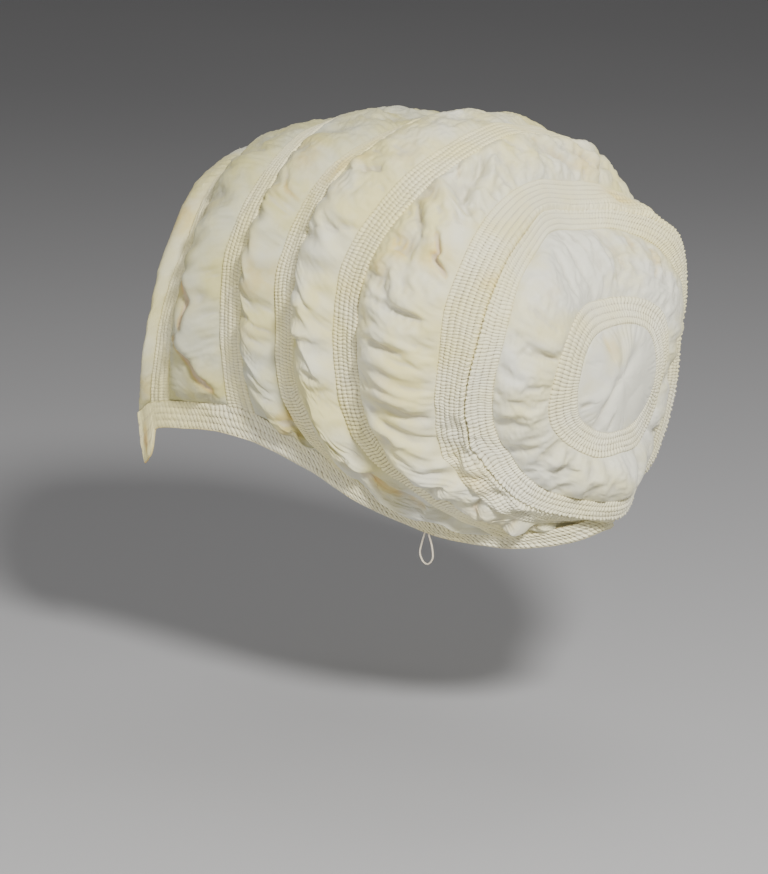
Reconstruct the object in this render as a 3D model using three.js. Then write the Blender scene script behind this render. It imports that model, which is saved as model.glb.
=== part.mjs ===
import * as THREE from 'three';

// Millimetres, +Z up, wearer facing -Y, wearer's left at +X. The origin is where the crown of the
// bonnet rests on the head. Every length below is a share of these named sizes or a named size.
const HALF_WIDTH = 90;
const LENGTH = 280;
const HEIGHT = 215;
const CLOTH_WALL = 1.5;
const CORDED_WALL = 1.8;
const CORD_PITCH = 3.6;
const CORD_RELIEF = 1.1;
const SEAM_GAP = 0.36;
const NECK_GAP = 0.7;
const GROOVE = 1.4;
const NAPE_SPLIT = 1.3;
const LOOP_THREAD = 1.0;
const LOOP_DROP = 17;
const LOOP_WIDTH = 9;

// Number of stations along one arch, along one closed oval and along the neck band.
const ARCH_STEPS = 36;
const OVAL_STEPS = 34;
const NECK_STEPS = 44;
const PUFF_ROWS = 4;

const IVORY = 0xe9dfc4;
const CREAM_WHITE = 0xe6e1d3;
const THREAD_BROWN = 0xcbbd9a;

// Upper edge of the neck band from the front corner to the nape. The columns across, along and up
// place each station; depth is how far the band hangs below it and tuck how far its edge turns in.
const NECK_LINE = [
  { at: 'corner', across: 0.86, along: -0.588, up: -0.771, depth: 29, tuck: 2 },
  { at: 'front_bend', across: 0.91, along: -0.532, up: -0.731, depth: 15, tuck: 2 },
  { at: 'front_quarter', across: 0.92, along: -0.41, up: -0.707, depth: 14.5, tuck: 2 },
  { at: 'below_band_2', across: 0.92, along: -0.3, up: -0.705, depth: 16.5, tuck: 2 },
  { at: 'below_ear', across: 0.88, along: -0.157, up: -0.76, depth: 15, tuck: 3 },
  { at: 'below_band_3', across: 0.81, along: -0.056, up: -0.834, depth: 13, tuck: 3 },
  { at: 'hair_line', across: 0.67, along: 0.028, up: -0.905, depth: 9, tuck: 3 },
  { at: 'neck_bend', across: 0.54, along: 0.14, up: -0.949, depth: 7, tuck: 3 },
  { at: 'below_band_4', across: 0.4, along: 0.23, up: -0.963, depth: 6.5, tuck: 3 },
  { at: 'near_nape', across: 0.23, along: 0.295, up: -0.953, depth: 6.5, tuck: 2 },
  { at: 'nape', across: 0, along: 0.32, up: -0.938, depth: 6.5, tuck: 0 },
];

// One row per arch from the face edge to the crown seam. across, along and up list the stations
// crest, shoulder, brow, temple, cheek, jaw and low; neckAt is the place on the neck line where
// the arch ends, cords and lean belong to the corded band that runs along it and spread widens
// the band's foot.
const ARCHES = [
  {
    name: 'face_edge', neckAt: 0, cords: 0, lean: 0, spread: 1,
    across: [0, 0.44, 0.7, 0.87, 0.94, 0.94, 0.9],
    along: [-0.571, -0.557, -0.532, -0.53, -0.539, -0.552, -0.57],
    up: [-0.135, -0.177, -0.27, -0.4, -0.53, -0.62, -0.7],
  },
  {
    name: 'corded_band_1', neckAt: 1.15, cords: 4, lean: 1, spread: 1,
    across: [0, 0.46, 0.7, 0.9, 0.97, 0.97, 0.95],
    along: [-0.488, -0.464, -0.45, -0.447, -0.477, -0.492, -0.505],
    up: [-0.1, -0.142, -0.22, -0.35, -0.5, -0.6, -0.67],
  },
  {
    name: 'corded_band_2', neckAt: 3, cords: 5, lean: 1.5, spread: 1,
    across: [0, 0.47, 0.74, 0.95, 1.01, 0.99, 0.96],
    along: [-0.282, -0.268, -0.27, -0.282, -0.292, -0.3, -0.3],
    up: [-0.018, -0.045, -0.12, -0.255, -0.42, -0.55, -0.64],
  },
  {
    name: 'corded_band_3', neckAt: 5, cords: 5, lean: 3, spread: 1.1,
    across: [0, 0.53, 0.78, 0.97, 1.01, 0.98, 0.91],
    along: [-0.057, -0.083, -0.127, -0.153, -0.161, -0.158, -0.118],
    up: [0.009, -0.033, -0.127, -0.29, -0.48, -0.61, -0.745],
  },
  {
    name: 'corded_band_4', neckAt: 8.2, cords: 5, lean: 1, spread: 1.5,
    across: [0, 0.54, 0.82, 1.01, 1.02, 0.93, 0.68],
    along: [0.129, 0.112, 0.065, 0.012, -0.007, 0.025, 0.13],
    up: [0.013, -0.034, -0.132, -0.3, -0.52, -0.73, -0.875],
  },
  {
    name: 'crown_edge', neckAt: 10, cords: 0, lean: 0, spread: 1,
    across: [0, 0.5, 0.82, 0.98, 0.98, 0.86, 0.55],
    along: [0.214, 0.219, 0.23, 0.216, 0.196, 0.187, 0.264],
    up: [-0.102, -0.133, -0.22, -0.38, -0.56, -0.74, -0.885],
  },
];

// Closed ovals of the crown tip, outside to centre, with stations from top to bottom.
const OVALS = [
  {
    name: 'crown_seam',
    across: [0, 0.47, 0.82, 0.95, 0.94, 0.83, 0.54, 0],
    along: [0.237, 0.277, 0.302, 0.287, 0.254, 0.245, 0.3, 0.378],
    up: [-0.17, -0.185, -0.27, -0.42, -0.58, -0.71, -0.856, -0.921],
  },
  {
    name: 'tip_band_inner',
    across: [0, 0.36, 0.71, 0.84, 0.81, 0.7, 0.46, 0],
    along: [0.258, 0.286, 0.317, 0.318, 0.286, 0.278, 0.322, 0.392],
    up: [-0.22, -0.225, -0.307, -0.43, -0.57, -0.69, -0.82, -0.87],
  },
  {
    name: 'ring_outer',
    across: [0, 0.29, 0.47, 0.555, 0.55, 0.48, 0.2, 0],
    along: [0.346, 0.37, 0.383, 0.375, 0.362, 0.361, 0.38, 0.389],
    up: [-0.381, -0.386, -0.433, -0.53, -0.61, -0.67, -0.747, -0.749],
  },
  {
    name: 'ring_inner',
    across: [0, 0.15, 0.28, 0.37, 0.37, 0.3, 0.12, 0],
    along: [0.378, 0.383, 0.388, 0.388, 0.383, 0.378, 0.382, 0.385],
    up: [-0.44, -0.443, -0.465, -0.54, -0.6, -0.65, -0.693, -0.696],
  },
];

// Soft puffs: bulge is the height of the pillow, folds the number of gathers along it and fold
// their height; pleat adds the crushed pleats across the top of the back.
const PUFFS = [
  { name: 'face_edge_puff', bulge: 4, folds: 9, fold: 0.6, phase: 0.3, pleat: 0 },
  { name: 'puff_1', bulge: 6.5, folds: 9, fold: 1.1, phase: 1.1, pleat: 0 },
  { name: 'puff_2', bulge: 8, folds: 9, fold: 1.3, phase: 2.0, pleat: 0 },
  { name: 'puff_3', bulge: 8.5, folds: 9, fold: 1.4, phase: 0.7, pleat: 0 },
  { name: 'puff_4', bulge: 8, folds: 9, fold: 1.5, phase: 2.6, pleat: 1.6 },
];
const TIP_PUFF = { bulge: 4.5, folds: 9, fold: 1.1, phase: 0.5, pleat: 0 };
const CENTRE_PUFF = { bulge: 5, folds: 3, fold: 0.8, phase: 1.2 };

// Shares that shape the sheets: how far the pillows flatten over the crest, where the arches turn
// onto the neck line, how the pleats of the back are spread and where the core lies.
const CREST_BULGE = 0.1;
const CREST_START = 0.06;
const CREST_END = 0.26;
const CORE_ALONG = 0.15;
const CORE_UP = -0.5;
const PILLOW = 0.8;
const UNEVEN = 3;
const FOOT_START = 0.78;
const FOOT_RISE = 0.12;
const PLEATS = 3;
const PLEAT_SPAN = 0.12;
const CROWN_CORDS = 5;
const TIP_CORDS = 4;
const RING_CORDS = 4;
const NECK_CORDS = 4;

const THREAD_SIDES = 8;
const THREAD_STEPS = 16;
const LOOP_AT = 6.4;
const LOOP_SHAPE = [
  { along: -0.12, down: 0 },
  { along: -0.35, down: 0.35 },
  { along: -0.5, down: 0.7 },
  { along: -0.25, down: 0.95 },
  { along: 0.1, down: 1 },
  { along: 0.45, down: 0.8 },
  { along: 0.42, down: 0.45 },
  { along: 0.16, down: 0.04 },
];

function place(row, i) {
  return new THREE.Vector3(
    row.across[i] * HALF_WIDTH,
    row.along[i] * LENGTH,
    row.up[i] * HEIGHT,
  );
}

function otherSide(points) {
  return points.map((p) => new THREE.Vector3(-p.x, p.y, p.z)).reverse();
}

// A half from the crest down, with its mirror image before it and the crest shared.
function bothSides(half) {
  return [...otherSide(half.slice(1)), ...half];
}

const neckPoints = NECK_LINE.map((station) => new THREE.Vector3(
  station.across * HALF_WIDTH,
  station.along * LENGTH,
  station.up * HEIGHT,
));
const neckRound = new THREE.CatmullRomCurve3(
  [...neckPoints, ...otherSide(neckPoints.slice(0, -1))],
  false,
  'centripetal',
);

// A point of the neck line on the wearer's left: index counts the stations of the table.
function neckPoint(index) {
  return neckRound.getPoint(index / (2 * (NECK_LINE.length - 1)));
}

function neckColumn(column, index) {
  const low = Math.min(Math.floor(index), NECK_LINE.length - 2);
  const share = index - low;
  return NECK_LINE[low][column] * (1 - share) + NECK_LINE[low + 1][column] * share;
}

function archCurve(row) {
  const half = row.across.map((_, i) => place(row, i));
  const foot = neckPoint(row.neckAt);
  foot.x = Math.max(foot.x, NAPE_SPLIT);
  half.push(foot);
  return new THREE.CatmullRomCurve3(bothSides(half), false, 'centripetal');
}

function ovalCurve(row) {
  const half = row.across.map((_, i) => place(row, i));
  return new THREE.CatmullRomCurve3([...half, ...otherSide(half.slice(1, -1))], true, 'centripetal');
}

const archLines = ARCHES.map((row) => archCurve(row).getSpacedPoints(ARCH_STEPS));
const ovalLines = OVALS.map((row) => (
  ovalCurve(row).getSpacedPoints(OVAL_STEPS).slice(0, OVAL_STEPS)
));

// The crown seam read as an arch that opens at the nape, for the band sewn to its outside.
function openedSeam(row) {
  const half = row.across.map((_, i) => place(row, i));
  half[half.length - 1].x = NAPE_SPLIT;
  return new THREE.CatmullRomCurve3(bothSides(half), false, 'centripetal');
}
const seamArch = openedSeam(OVALS[0]).getSpacedPoints(ARCH_STEPS);

function tangents(line, closed) {
  return line.map((_, i) => {
    const last = line.length - 1;
    const after = closed ? line[(i + 1) % line.length] : line[Math.min(i + 1, last)];
    const before = closed ? line[(i + last) % line.length] : line[Math.max(i - 1, 0)];
    return new THREE.Vector3().subVectors(after, before).normalize();
  });
}

// Direction across a band, square to its own run, turning to the neck line at the foot.
function acrossDirections(row) {
  const line = archLines[row];
  const run = tangents(line, false);
  const next = archLines[Math.min(row + 1, archLines.length - 1)];
  const prior = archLines[Math.max(row - 1, 0)];
  return line.map((point, i) => {
    const chord = new THREE.Vector3().subVectors(next[i], prior[i]).normalize();
    const square = chord.clone().addScaledVector(run[i], -chord.dot(run[i])).normalize();
    const foot = nearFoot(i);
    return square.multiplyScalar(1 - foot).addScaledVector(chord, foot * ARCHES[row].spread);
  });
}

// Outward directions along a line, square to its run and to the way from lineA to lineB.
function outwardNormals(line, lineA, lineB, closed) {
  const run = tangents(line, closed);
  return line.map((_, i) => {
    const side = new THREE.Vector3().subVectors(lineB[i], lineA[i]);
    return new THREE.Vector3().crossVectors(run[i], side).normalize();
  });
}

// The crown seam is an edge between the side and the tip: outward there is away from this core.
const CORE = new THREE.Vector3(0, CORE_ALONG * LENGTH, CORE_UP * HEIGHT);

function fromCore(line) {
  return line.map((point) => new THREE.Vector3().subVectors(point, CORE).normalize());
}

function shifted(line, directions, distance) {
  return line.map((point, i) => point.clone().addScaledVector(directions[i], distance));
}

// How far a station of an arch is towards its foot, 0 above and 1 at the neck line.
function nearFoot(i) {
  return THREE.MathUtils.smoothstep(Math.abs(i / ARCH_STEPS - 0.5) * 2, FOOT_START, 1);
}

// Both long edges of a corded band; lean sets its rear edge out and its front edge in. feet are
// the places on the neck line where the two edges end.
function bandEdges(row) {
  const half = (ARCHES[row].cords * CORD_PITCH) / 2;
  const { neckAt, spread } = ARCHES[row];
  const spacing = neckPoint(neckAt - 0.5).distanceTo(neckPoint(neckAt + 0.5));
  const feet = [neckAt - (half * spread) / spacing, neckAt + (half * spread) / spacing];
  const across = acrossDirections(row);
  const line = archLines[row];
  const normals = outwardNormals(line, line, shifted(line, across, 1), false);
  const front = shifted(shifted(line, across, -half), normals, -ARCHES[row].lean);
  const rear = shifted(shifted(line, across, half), normals, ARCHES[row].lean);
  return [{ line: front, foot: feet[0] }, { line: rear, foot: feet[1] }];
}

// Closes a grid of outer points and a grid of inner points, rows across and columns along, into
// one sheet with thickness. A closed grid wraps round along its columns.
function sheetSolid(outer, inner, closed) {
  const columns = outer[0].length;
  const positions = [...outer.flat(), ...inner.flat()].flatMap((p) => [p.x, p.y, p.z]);
  const start = outer.length * columns;
  const outerAt = (r, c) => r * columns + c;
  const innerAt = (r, c) => start + r * columns + c;
  const outerLast = outer.length - 1;
  const innerLast = inner.length - 1;
  const faces = [];
  const quad = (a, b, c, d) => faces.push(a, b, c, a, c, d);
  const spans = closed ? columns : columns - 1;
  for (let c = 0; c < spans; c += 1) {
    const n = (c + 1) % columns;
    for (let r = 0; r < outerLast; r += 1) {
      quad(outerAt(r, c), outerAt(r, n), outerAt(r + 1, n), outerAt(r + 1, c));
    }
    for (let r = 0; r < innerLast; r += 1) {
      quad(innerAt(r, c), innerAt(r + 1, c), innerAt(r + 1, n), innerAt(r, n));
    }
    quad(outerAt(0, c), innerAt(0, c), innerAt(0, n), outerAt(0, n));
    quad(outerAt(outerLast, c), outerAt(outerLast, n), innerAt(innerLast, n), innerAt(innerLast, c));
  }
  if (!closed) {
    endCap(faces, outerLast, innerLast, (r) => outerAt(r, 0), (r) => innerAt(r, 0), false);
    const end = columns - 1;
    endCap(faces, outerLast, innerLast, (r) => outerAt(r, end), (r) => innerAt(r, end), true);
  }
  const geometry = new THREE.BufferGeometry();
  geometry.setAttribute('position', new THREE.Float32BufferAttribute(positions, 3));
  geometry.setIndex(faces);
  return geometry;
}

// Fills the end of a sheet, stepping along whichever of its two profiles lags behind.
function endCap(faces, outerLast, innerLast, outerAt, innerAt, atEnd) {
  let o = 0;
  let i = 0;
  while (o < outerLast || i < innerLast) {
    const outerNext = (o + 1) / outerLast;
    const innerNext = (i + 1) / innerLast;
    const stepOuter = i === innerLast || (o < outerLast && outerNext <= innerNext);
    const third = stepOuter ? outerAt(o + 1) : innerAt(i + 1);
    const face = [outerAt(o), third, innerAt(i)];
    faces.push(...(atEnd ? face.reverse() : face));
    o += stepOuter ? 1 : 0;
    i += stepOuter ? 0 : 1;
  }
}

// Brings the foot of a sheet onto the curved neck line between the places where its edges end.
function footShift({ seams, feet }, v, i) {
  const end = i * 2 < ARCH_STEPS ? 0 : ARCH_STEPS;
  const goal = neckPoint(feet[0] * (1 - v) + feet[1] * v);
  goal.x = Math.max(goal.x, NAPE_SPLIT) * (end === 0 ? -1 : 1);
  goal.sub(seams[0][end].clone().lerp(seams[1][end], v));
  return goal.multiplyScalar(nearFoot(i));
}

// A sheet between two lines. height(v, i) is how far it stands off the chord between the lines at
// share v across and station i along, relief what its outer face adds to that.
function sheet(run, wall, shares, height, relief) {
  const [lineA, lineB] = run.lines;
  const [outA, outB] = run.normals;
  const grid = (rows, level) => rows.map((v) => lineA.map((point, i) => {
    const at = point.clone().lerp(lineB[i], v);
    if (run.feet) {
      at.add(footShift(run, v, i));
    }
    return at.addScaledVector(outA[i].clone().lerp(outB[i], v).normalize(), level(v, i));
  }));
  const outer = grid(shares.outer, (v, i) => height(v, i) + wall / 2 + relief(v));
  const inner = grid(shares.inner, (v, i) => height(v, i) - wall / 2);
  return sheetSolid(outer, inner, run.closed);
}

// Leaves a small gap between a sheet and its neighbours on both long edges.
function drawnIn(lineA, lineB, gapA, gapB) {
  const pull = (from, to, gap) => from.map((point, i) => {
    const side = new THREE.Vector3().subVectors(to[i], point);
    return point.clone().addScaledVector(side, gap / side.length());
  });
  return [pull(lineA, lineB, gapA), pull(lineB, lineA, gapB)];
}

// The run of one sheet between two neighbouring seams.
function runBetween(a, b, closed) {
  return {
    lines: drawnIn(a.line, b.line, a.gap ?? SEAM_GAP / 2, b.gap ?? SEAM_GAP / 2),
    seams: [a.line, b.line],
    normals: [a.normals, b.normals],
    feet: b.foot === undefined ? null : [a.foot, b.foot],
    closed,
  };
}

const group = new THREE.Group();
group.name = 'bonnet';

function addPiece(name, geometry, colour) {
  geometry.computeVertexNormals();
  const mesh = new THREE.Mesh(geometry, new THREE.MeshStandardMaterial({
    name: `${name}_cloth`,
    color: colour,
    roughness: 0.8,
    metalness: 0,
  }));
  mesh.name = name;
  group.add(mesh);
}

function evenShares(count) {
  return Array.from({ length: count + 1 }, (_, i) => i / count);
}

function flat() {
  return 0;
}

// A band of parallel cords: one rib per cord outside, plain cloth inside.
function cordedSheet(run, cords) {
  const shares = { outer: evenShares(2 * cords), inner: [0, 1] };
  const rib = (v) => CORD_RELIEF * Math.sin(Math.PI * cords * v) ** 2;
  return sheet(run, CORDED_WALL, shares, flat, rib);
}

// Gathers along a puff: unevenly spaced folds.
function gather(share, folds, phase) {
  const turn = 2 * Math.PI * share;
  return Math.sin(folds * turn + phase + Math.sin(UNEVEN * turn + phase));
}

// A gathered pillow: it rises quickly from both edges and its folds run from edge to edge.
function puffSheet(run, puff) {
  const shares = { outer: evenShares(PUFF_ROWS), inner: evenShares(PUFF_ROWS) };
  const steps = run.closed ? OVAL_STEPS : ARCH_STEPS;
  const height = (v, i) => {
    const along = i / steps;
    const toFoot = run.closed ? 1 : Math.min(1, (1 - Math.abs(along - 0.5) * 2) / FOOT_RISE);
    const rise = (Math.sin(Math.PI * v) * Math.sin((Math.PI / 2) * toFoot)) ** PILLOW;
    const low = THREE.MathUtils.smoothstep(Math.abs(along - 0.5), CREST_START, CREST_END);
    const full = run.closed ? 1 : CREST_BULGE + (1 - CREST_BULGE) * low;
    const soft = puff.bulge * full + puff.fold * gather(along, puff.folds, puff.phase + v);
    const top = Math.exp(-(((along - 0.5) / PLEAT_SPAN) ** 2));
    return rise * (soft + puff.pleat * top * Math.cos(PLEATS * Math.PI * v));
  };
  return sheet(run, CLOTH_WALL, shares, height, flat);
}

// Every seam from the face edge to the crown seam, and every seam of the tip, in order.
const openSeams = ARCHES.flatMap((row, i) => (
  row.cords > 0 ? bandEdges(i) : [{ line: archLines[i], foot: row.neckAt }]
));
openSeams.push({ line: seamArch, gap: GROOVE / 2 });
const closedSeams = ovalLines.map((line) => ({ line }));
closedSeams[0].gap = GROOVE / 2;
[openSeams, closedSeams].forEach((seams) => seams.forEach((seam, i) => {
  const before = seams[Math.max(i - 1, 0)].line;
  const after = seams[Math.min(i + 1, seams.length - 1)].line;
  seam.normals = outwardNormals(seam.line, before, after, seams === closedSeams);
}));
openSeams[openSeams.length - 1].normals = fromCore(seamArch);
closedSeams[0].normals = fromCore(ovalLines[0]);

let seamIndex = 0;
ARCHES.slice(0, -1).forEach((_, i) => {
  const puffRun = runBetween(openSeams[seamIndex], openSeams[seamIndex + 1], false);
  addPiece(PUFFS[i].name, puffSheet(puffRun, PUFFS[i]), CREAM_WHITE);
  seamIndex += 1;
  const band = ARCHES[i + 1];
  if (band.cords > 0) {
    const bandRun = runBetween(openSeams[seamIndex], openSeams[seamIndex + 1], false);
    addPiece(band.name, cordedSheet(bandRun, band.cords), IVORY);
    seamIndex += 1;
  }
});
const crownRun = runBetween(openSeams[seamIndex], openSeams[seamIndex + 1], false);
addPiece('crown_band', cordedSheet(crownRun, CROWN_CORDS), IVORY);
const [tipRun, tipPuffRun, ringRun] = [0, 1, 2].map((i) => (
  runBetween(closedSeams[i], closedSeams[i + 1], true)
));
addPiece('tip_band', cordedSheet(tipRun, TIP_CORDS), IVORY);
addPiece('tip_puff', puffSheet(tipPuffRun, TIP_PUFF), CREAM_WHITE);
addPiece('tip_ring', cordedSheet(ringRun, RING_CORDS), IVORY);

// The centre of the tip: rings of stations shrinking to one point, closed round its rim.
function centrePuff(rim, rimNormals, puff) {
  const centre = rim.reduce((sum, p) => sum.add(p), new THREE.Vector3());
  centre.divideScalar(rim.length);
  const normal = new THREE.Vector3();
  rim.forEach((p, i) => normal.add(new THREE.Vector3().crossVectors(
    new THREE.Vector3().subVectors(p, centre),
    new THREE.Vector3().subVectors(rim[(i + 1) % rim.length], centre),
  )));
  normal.normalize();
  const shares = evenShares(PUFF_ROWS).slice(0, PUFF_ROWS);
  const layer = (offset) => shares.map((v) => rim.map((p, i) => {
    const rise = Math.sin((Math.PI / 2) * v) ** PILLOW * puff.bulge;
    const fold = puff.fold * Math.sin(Math.PI * v) * gather(i / rim.length, puff.folds, puff.phase);
    const out = rimNormals[i].clone().lerp(normal, v).normalize();
    return p.clone().lerp(centre, v).addScaledVector(out, rise + fold + offset);
  }));
  const outer = layer(CLOTH_WALL / 2);
  const inner = layer(-CLOTH_WALL / 2);
  const tip = (offset) => centre.clone().addScaledVector(normal, puff.bulge + offset);
  const points = [...outer.flat(), ...inner.flat(), tip(CLOTH_WALL / 2), tip(-CLOTH_WALL / 2)];
  const size = rim.length;
  const start = shares.length * size;
  const lastRing = (shares.length - 1) * size;
  const faces = [];
  const quad = (a, b, c, d) => faces.push(a, b, c, a, c, d);
  for (let c = 0; c < size; c += 1) {
    const n = (c + 1) % size;
    for (let r = 0; r < lastRing; r += size) {
      quad(r + c, r + n, r + size + n, r + size + c);
      quad(start + r + c, start + r + size + c, start + r + size + n, start + r + n);
    }
    quad(c, start + c, start + n, n);
    faces.push(lastRing + c, lastRing + n, points.length - 2);
    faces.push(start + lastRing + n, start + lastRing + c, points.length - 1);
  }
  const geometry = new THREE.BufferGeometry();
  const positions = points.flatMap((p) => [p.x, p.y, p.z]);
  geometry.setAttribute('position', new THREE.Float32BufferAttribute(positions, 3));
  geometry.setIndex(faces);
  return geometry;
}
const centreRim = drawnIn(ovalLines[3], ovalLines[3].map((_, i, line) => (
  line[(i + OVAL_STEPS / 2) % OVAL_STEPS]
)), SEAM_GAP / 2, 0)[0];
const rimNormals = closedSeams[closedSeams.length - 1].normals;
addPiece('tip_centre', centrePuff(centreRim, rimNormals, CENTRE_PUFF), CREAM_WHITE);

// The neck band hangs from the neck line, front corner to front corner round the nape.
const neckStations = Array.from({ length: NECK_STEPS + 1 }, (_, i) => {
  const side = i / NECK_STEPS * 2 - 1;
  const index = (NECK_LINE.length - 1) * (1 - Math.abs(side));
  const top = neckPoint(index);
  const low = top.clone();
  low.z -= neckColumn('depth', index);
  low.x = Math.max(low.x - neckColumn('tuck', index), 0);
  top.x *= Math.sign(side);
  low.x *= Math.sign(side);
  return { top, low };
});
const neckLines = drawnIn(neckStations.map((s) => s.top), neckStations.map((s) => s.low), NECK_GAP, 0);
const neckNormals = outwardNormals(neckLines[0], neckLines[0], neckLines[1], false);
const neckRun = { lines: neckLines, normals: [neckNormals, neckNormals], feet: null, closed: false };
addPiece('neck_band', cordedSheet(neckRun, NECK_CORDS), IVORY);

// A loop of sewing thread that hangs from the neck edge behind the wearer's left ear.
const loopTop = neckPoint(LOOP_AT);
loopTop.x -= neckColumn('tuck', LOOP_AT);
loopTop.z -= neckColumn('depth', LOOP_AT) + LOOP_THREAD;
const loopPath = new THREE.CatmullRomCurve3(LOOP_SHAPE.map((station) => new THREE.Vector3(
  loopTop.x,
  loopTop.y + station.along * LOOP_WIDTH,
  loopTop.z - station.down * LOOP_DROP,
)), false, 'centripetal');
const threadSection = new THREE.Shape();
threadSection.absarc(0, 0, LOOP_THREAD / 2, 0, 2 * Math.PI, false);
addPiece('thread_loop', new THREE.ExtrudeGeometry(threadSection, {
  curveSegments: THREAD_SIDES / 2,
  steps: THREAD_STEPS,
  extrudePath: loopPath,
}), THREAD_BROWN);

export default group;
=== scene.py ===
"""The drawn silk bonnet: its puffs, corded bands, neck band and thread loop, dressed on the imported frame.

Lengths are millimetres in the bonnet's own frame (wearer faces -Y, wearer's left is +X, +Z up) until
a mesh is written, which is in metres. A sheet is a grid of columns u, which run over the head from the
wearer's right to the left, by rows v, which run from the front seam to the rear one.
"""

import bpy
import numpy as np
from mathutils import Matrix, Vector


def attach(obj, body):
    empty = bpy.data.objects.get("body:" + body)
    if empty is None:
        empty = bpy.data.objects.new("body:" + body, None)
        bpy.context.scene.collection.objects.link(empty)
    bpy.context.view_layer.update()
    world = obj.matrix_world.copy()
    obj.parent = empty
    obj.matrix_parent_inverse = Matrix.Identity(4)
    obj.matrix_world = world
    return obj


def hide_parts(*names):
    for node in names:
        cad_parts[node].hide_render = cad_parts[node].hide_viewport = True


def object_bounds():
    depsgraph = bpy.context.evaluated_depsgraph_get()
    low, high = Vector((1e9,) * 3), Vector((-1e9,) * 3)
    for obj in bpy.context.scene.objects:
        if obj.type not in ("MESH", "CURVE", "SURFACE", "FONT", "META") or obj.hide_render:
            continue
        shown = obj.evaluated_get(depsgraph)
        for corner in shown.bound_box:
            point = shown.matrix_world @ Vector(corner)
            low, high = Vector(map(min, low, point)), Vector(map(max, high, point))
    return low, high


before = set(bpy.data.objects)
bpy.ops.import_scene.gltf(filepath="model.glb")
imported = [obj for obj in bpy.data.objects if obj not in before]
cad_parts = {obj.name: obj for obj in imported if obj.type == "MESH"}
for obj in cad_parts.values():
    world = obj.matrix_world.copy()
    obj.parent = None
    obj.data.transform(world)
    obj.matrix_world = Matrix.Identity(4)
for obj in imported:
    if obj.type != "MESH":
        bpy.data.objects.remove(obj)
cad_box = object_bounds()

METRE = 1000.0

# Camera: the photograph's angles, read from the arches and the crown tip, and its scale.
CAMERA_AZIMUTH = 130.0
CAMERA_ELEVATION = 13.0
CAMERA_DISTANCE = 2.0
CAMERA_AIM = (0.01896, -0.03740, -0.17128)
CAMERA_LENS = 152.55

HALF_WIDTH = 90.0
LENGTH = 280.0
HEIGHT = 215.0
CORD_PITCH = 3.6
NAPE_SPLIT = 1.3
ARCH_STEPS = 36
OVAL_STEPS = 34

# Neck line from the front corner to the nape: across, along, up, depth of the band, tuck of its edge.
NECK_LINE = np.array([
    (0.86, -0.588, -0.771, 29, 2),
    (0.91, -0.532, -0.731, 15, 2),
    (0.92, -0.41, -0.707, 14.5, 2),
    (0.92, -0.3, -0.705, 16.5, 2),
    (0.88, -0.157, -0.76, 15, 3),
    (0.81, -0.056, -0.834, 13, 3),
    (0.67, 0.028, -0.905, 9, 3),
    (0.54, 0.14, -0.949, 7, 3),
    (0.4, 0.23, -0.963, 6.5, 3),
    (0.23, 0.295, -0.953, 6.5, 2),
    (0, 0.32, -0.938, 6.5, 0),
])

# name, place on the neck line, cords, lean, spread, then across, along and up from crest to low.
ARCHES = [
    ("face_edge", 0, 0, 0, 1,
     (0, 0.44, 0.7, 0.87, 0.94, 0.94, 0.9),
     (-0.571, -0.557, -0.532, -0.53, -0.539, -0.552, -0.57),
     (-0.135, -0.177, -0.27, -0.4, -0.53, -0.62, -0.7)),
    ("corded_band_1", 1.15, 4, 1, 1,
     (0, 0.46, 0.7, 0.9, 0.97, 0.97, 0.95),
     (-0.488, -0.464, -0.45, -0.447, -0.477, -0.492, -0.505),
     (-0.1, -0.142, -0.22, -0.35, -0.5, -0.6, -0.67)),
    ("corded_band_2", 3, 5, 1.5, 1,
     (0, 0.47, 0.74, 0.95, 1.01, 0.99, 0.96),
     (-0.282, -0.268, -0.27, -0.282, -0.292, -0.3, -0.3),
     (-0.018, -0.045, -0.12, -0.255, -0.42, -0.55, -0.64)),
    ("corded_band_3", 5, 5, 3, 1.1,
     (0, 0.53, 0.78, 0.97, 1.01, 0.98, 0.91),
     (-0.057, -0.083, -0.127, -0.153, -0.161, -0.158, -0.118),
     (0.009, -0.033, -0.127, -0.29, -0.48, -0.61, -0.745)),
    ("corded_band_4", 8.2, 5, 1, 1.5,
     (0, 0.54, 0.82, 1.01, 1.02, 0.93, 0.68),
     (0.129, 0.112, 0.065, 0.012, -0.007, 0.025, 0.13),
     (0.013, -0.034, -0.132, -0.3, -0.52, -0.73, -0.875)),
    ("crown_edge", 10, 0, 0, 1,
     (0, 0.5, 0.82, 0.98, 0.98, 0.86, 0.55),
     (0.214, 0.219, 0.23, 0.216, 0.196, 0.187, 0.264),
     (-0.102, -0.133, -0.22, -0.38, -0.56, -0.74, -0.885)),
]

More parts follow.
